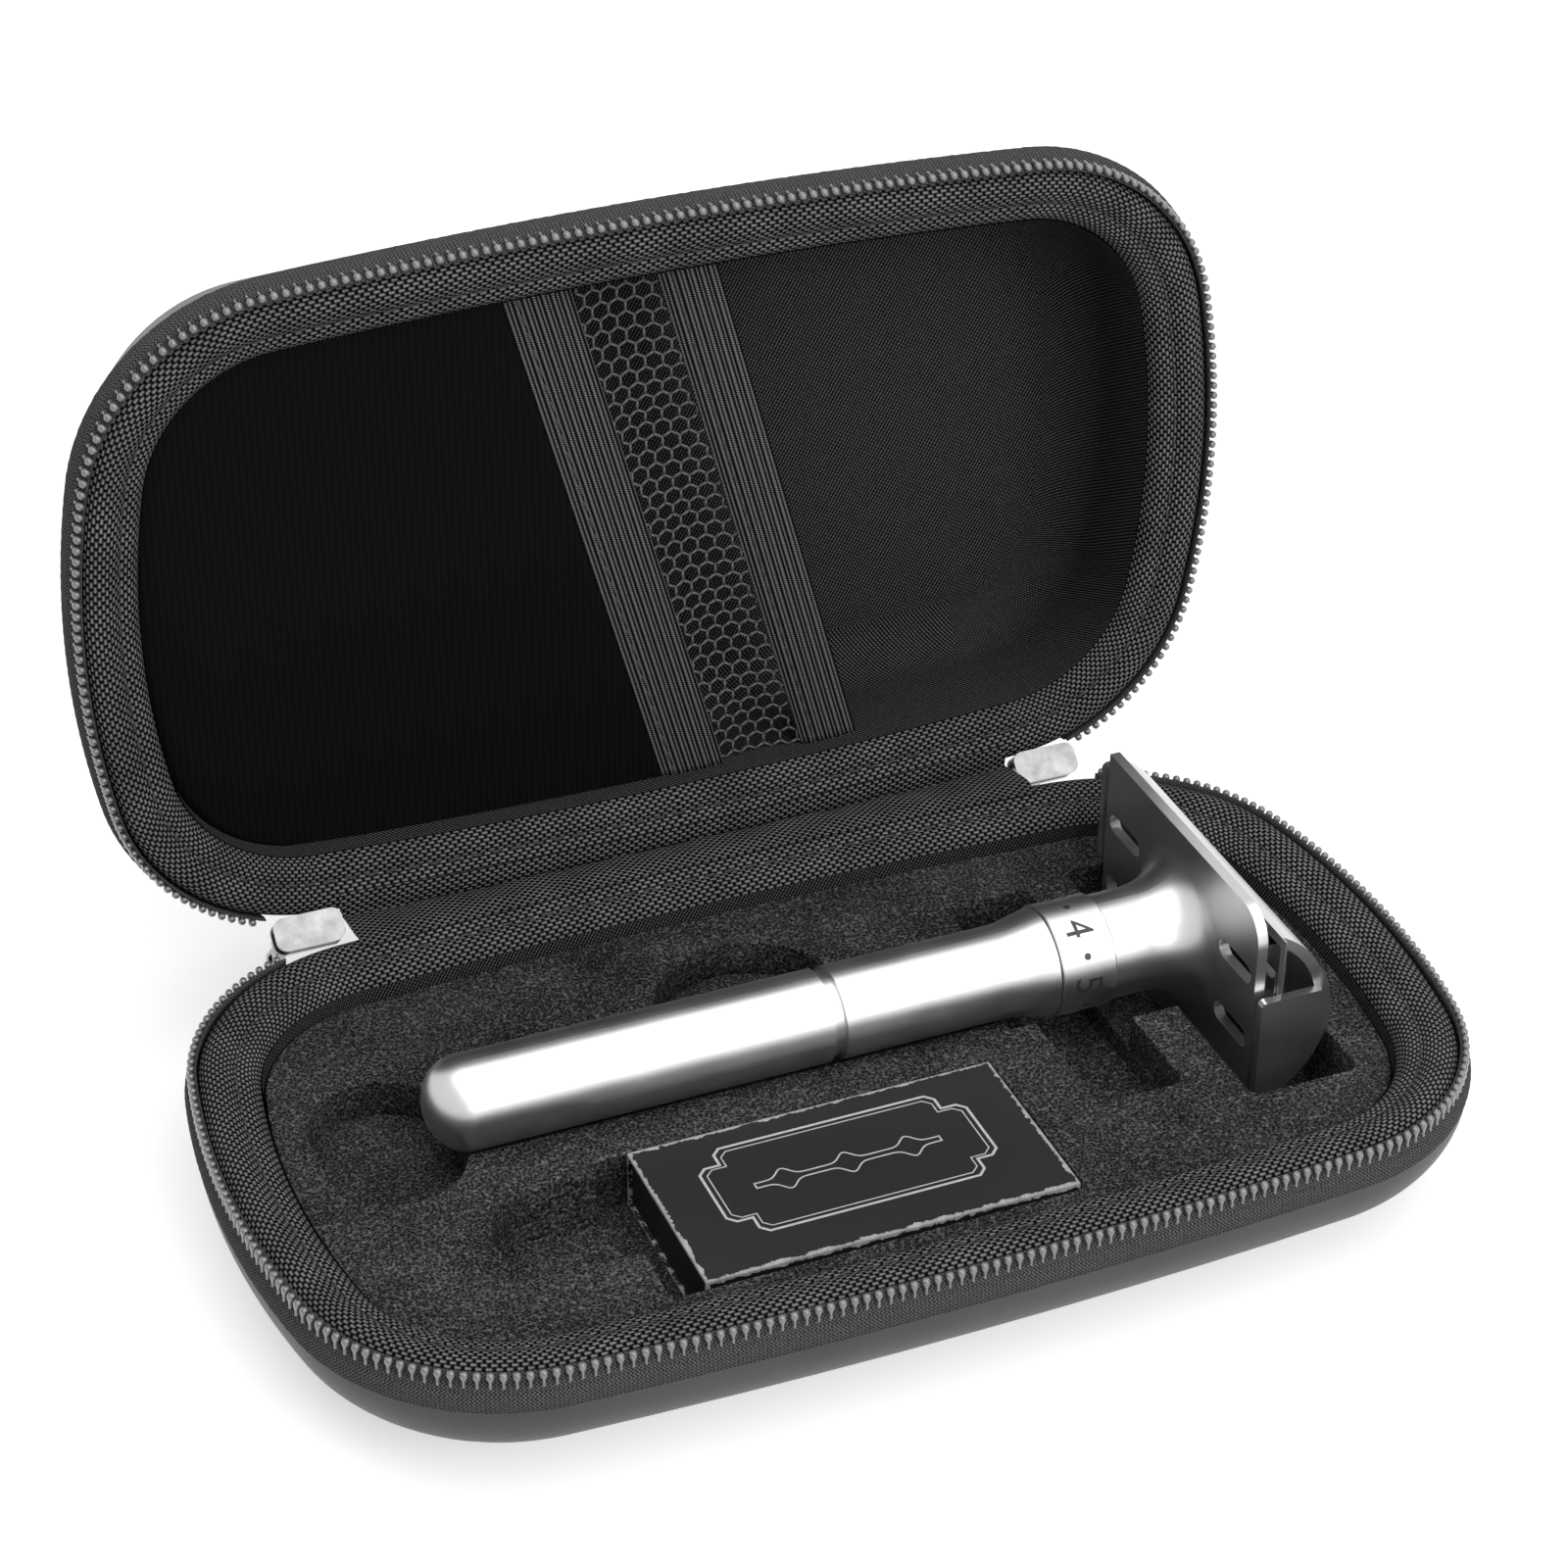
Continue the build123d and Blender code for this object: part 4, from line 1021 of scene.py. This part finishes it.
# The two elastic bands: flat ribbed elastic, one along the panel's edge and one along the net's far
# edge. Each is cut on a slant, stretched from side to side and sewn down by a line of stitches.
BAND_1_EDGE = -1.6
NET_EDGE = 10.2
BAND_2_EDGE = 18.1
BAND_COLUMNS = 40
BAND_SET = 0.35
BAND_SWELL = 0.3
CORD_HEIGHT = 0.06
CORD_PHASE = 44
ELASTIC_RIB = 0.62 * MM
ELASTIC_PICK = 0.34 * MM
BAND_SEAM = 1.7
BAND_STITCH = 1.7
BAND_STITCH_PITCH = 2.5
BAND_STITCH_DEEP = -0.12
BAND_THREAD_R = 0.16

elastic_finish = Finish("ribbed_elastic", 0.8, specular=0.03)
along, across = elastic_finish.cloth()
rib = (along - across * POCKET_LEAN) / ELASTIC_RIB
pick = abs((across * (math.pi / ELASTIC_PICK) + rib.floor() * 1.57).sine())
height = abs((rib * math.pi).sine()) * (0.45 + pick * 0.55)
# Painted light: the raised ribs and picks of the elastic are painted bright as highlights and the hollows
# between them near black as painted shade.
elastic_finish.tint(height ** 3, (0.0006, 0.0006, 0.0006), (0.30, 0.30, 0.31))
elastic_finish.bump(height, 0.14 * MM)


def band_rise(share, y):
    """A band stands out a little between its edges, and its cords stand out of it."""
    swell = BAND_SWELL * abs(math.sin(math.pi * share)) ** 0.5
    return POCKET_DEEP + BAND_SET - swell - CORD_HEIGHT * math.cos(share * CORD_PHASE)


for name, node, near, far in (
    ("elastic_band_left", "pocket_band_left", PANEL_EDGE, BAND_1_EDGE),
    ("elastic_band_right", "pocket_band_right", NET_EDGE, BAND_2_EDGE),
):
    def band_left(y):
        return leaning(near, y)

    def band_right(y):
        return leaning(far, y)

    def band_ends(share):
        edge = near + share * (far - near)
        return line_end(edge, -1), line_end(edge, 1)

    band = strip_cloth(name, band_left, band_right, band_ends, band_rise, BAND_COLUMNS)
    dress(band, elastic_finish)
    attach(band, "lid")
    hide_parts(node)
    points = []
    faces = []
    up = seat("lid", 0, 0, -BAND_THREAD_R) - seat("lid", 0, 0, 0)
    y = 1 - POCKET_HALF_WIDTH
    while y < POCKET_HALF_WIDTH - 1:
        start, end = (
            seat("lid", leaning(near + BAND_SEAM, spot), spot, POCKET_DEEP + BAND_STITCH_DEEP)
            for spot in (y, y + BAND_STITCH)
        )
        add_stitch(points, faces, start, end, up, BAND_THREAD_R * MM)
        y += BAND_STITCH_PITCH
    band_stitches = dress(make_piece(name + "_stitches", points, faces), thread_finish)
    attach(band_stitches, "lid")

# The net between the bands: nylon yarn knitted in hexagons, caught under the edges of both bands.
# It hangs back from them and waves a little.
NET_PITCH = 2.3
NET_SIDE = NET_PITCH / math.sqrt(3)
NET_STRAND_R = 0.19 * MM
NET_COLUMNS = range(-12, 14)
NET_REACH = POCKET_HALF_WIDTH + 0.3
NET_UNDER = 0.6
NET_SET = 0.6
NET_SLACK = 0.8
NET_WAVE = 0.25
net_finish = Finish("net_yarn", 0.45)
net_finish.tint(net_finish.noise(0.3 * MM, 2), (0.04, 0.04, 0.04), (0.16, 0.16, 0.16))


def net_spot(x, y):
    """Where the net lies in the lid."""
    share = (x - leaning(BAND_1_EDGE, y)) / (NET_EDGE - BAND_1_EDGE)
    back = NET_SLACK * math.sin(math.pi * min(1, max(0, share))) + NET_WAVE * math.sin(y * 0.33 + x * 0.2)
    return seat("lid", x, y, POCKET_DEEP + NET_SET + back)


def in_net(x, y):
    left, right = leaning(BAND_1_EDGE, y) - NET_UNDER, leaning(NET_EDGE, y) + NET_UNDER
    return abs(y) < NET_REACH and left < x < right


def add_strand(points, faces, start, end):
    line = (end - start).normalized()
    side = line.orthogonal().normalized()
    first = len(points)
    for spot in (start, start.lerp(end, 0.5), end):
        add_circle(points, spot, NET_STRAND_R, side, line.cross(side), THREAD_SIDES)
    skin(faces, first, 3, THREAD_SIDES)


points = []
faces = []
rows = int(NET_REACH / (1.5 * NET_SIDE)) + 2
for row in range(-rows, rows + 1):
    for column in NET_COLUMNS:
        middle_x = (column + row % 2 / 2) * NET_PITCH
        middle_y = row * 1.5 * NET_SIDE
        knots = []
        for turn in map(math.radians, (90, 30, -30, -90)):
            knots.append((middle_x + NET_SIDE * math.cos(turn), middle_y + NET_SIDE * math.sin(turn)))
        for first, second in zip(knots, knots[1:]):
            if in_net(*first) and in_net(*second):
                add_strand(points, faces, net_spot(*first), net_spot(*second))
net = dress(make_piece("hexagon_net", points, faces), net_finish)
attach(net, "lid")
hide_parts("pocket_net")

# The zip sliders and their pulls: cast and pressed metal with a dark plating, shiny and worn to a
# lighter grey in places. Each pull hangs on its slider's bridge.
slider_finish = Finish("painted_slider", metal=1.0)
rub = slider_finish.noise(2.2 * MM, 3)
slider_finish.tint(slider_finish.ramp(rub, 0.35, 0.7), (0.22, 0.22, 0.22), (0.36, 0.36, 0.36))
slider_finish.put("Roughness", 0.16 + rub * 0.12)
for node in ("zip_slider_left", "zip_slider_right", "zip_pull_left", "zip_pull_right"):
    dress_node(node, slider_finish)

# The floor: a white paper sweep, a hair below the case. It is lit up for the camera and for
# reflections, as an overexposed studio ground is.
FLOOR_HALF = 3.0
FLOOR_GAP = 0.05 * MM
floor_mesh = bpy.data.meshes.new("floor")
floor_corners = [(x * FLOOR_HALF, y * FLOOR_HALF, 0) for x, y in ((-1, -1), (1, -1), (1, 1), (-1, 1))]
floor_mesh.from_pydata(floor_corners, [], [(0, 1, 2, 3)])
floor = bpy.data.objects.new("floor", floor_mesh)
bpy.context.scene.collection.objects.link(floor)
floor.location.z = -FLOOR_GAP
floor_finish = Finish("white_sweep", 0.6, specular=0.2)
floor_finish.put("Base Color", (0.86, 0.86, 0.86, 1))
seen = floor_finish.ray("Camera").most(floor_finish.ray("Glossy"))
floor_finish.put("Emission Color", floor_finish.mix(seen, (0, 0, 0, 1), (1, 1, 1, 1)))
floor_finish.put("Emission Strength", 0.55)
dress(floor, floor_finish)

# The light: a white studio that is bright where it is seen and dim where it lights, one large
# softbox overhead and a smaller one at the front.
STUDIO_LIGHT = 0.25


class Studio(Finish):
    """The white room all round, with its nodes made as a finish's are."""

    def __init__(self, name):
        bpy.context.scene.world = bpy.data.worlds.new(name)
        bpy.context.scene.world.use_nodes = True
        self.tree = bpy.context.scene.world.node_tree
        self.surface = self.tree.nodes["Background"]


studio = Studio("white_studio")
seen = studio.ray("Camera").most(studio.ray("Transmission").most(studio.ray("Glossy")))
levels = {"Value": seen, "To Min": STUDIO_LIGHT, "To Max": 1.0}
studio.put("Color", (1, 1, 1, 1))
studio.put("Strength", studio.node("ShaderNodeMapRange", None, levels))


def add_lamp(name, place, aim, size, watts):
    """A softbox at a place, turned to a point."""
    lamp = bpy.data.lights.new(name, "AREA")
    lamp.shape = "RECTANGLE"
    lamp.size, lamp.size_y = size
    lamp.energy = watts
    holder = bpy.data.objects.new(name, lamp)
    holder.location = place
    holder.rotation_euler = (Vector(aim) - Vector(place)).to_track_quat("-Z", "Y").to_euler()
    bpy.context.scene.collection.objects.link(holder)


add_lamp("overhead_box", (0.05, -0.18, 1.0), (0.04, -0.1, 0), (1.2, 1.5), 8.2)
add_lamp("front_box", (0.25, -0.92, 0.56), (0, 0, 0.03), (0.75, 0.5), 4.5)

# The camera: to the left of the front and well above the case, with a long lens. It is held very
# slightly off level.
CAMERA_PLACE = Vector((-156.9, -352.2, 309.5))
AZIMUTH = math.radians(-23.08)
ELEVATION = math.radians(33.16)
ROLL = math.radians(0.54)
LENS = 88.8
FILM_WIDTH = 36.0
level_back = Vector((math.sin(AZIMUTH), -math.cos(AZIMUTH), 0)) * math.cos(ELEVATION)
back = level_back + Vector((0, 0, math.sin(ELEVATION)))
right = Vector((math.cos(AZIMUTH), math.sin(AZIMUTH), 0))
up = back.cross(right)
camera = bpy.data.objects.new("camera", bpy.data.cameras.new("camera"))
camera.data.lens = LENS
camera.data.sensor_width = FILM_WIDTH
camera.data.clip_start = 0.01
rolled_right = math.cos(ROLL) * right + math.sin(ROLL) * up
rolled_up = math.cos(ROLL) * up - math.sin(ROLL) * right
turned = Matrix((rolled_right, rolled_up, back)).transposed()
camera.matrix_world = Matrix.Translation(CAMERA_PLACE * MM) @ turned.to_4x4()
bpy.context.scene.collection.objects.link(camera)
bpy.context.scene.camera = camera
bpy.context.scene.view_settings.view_transform = "Standard"
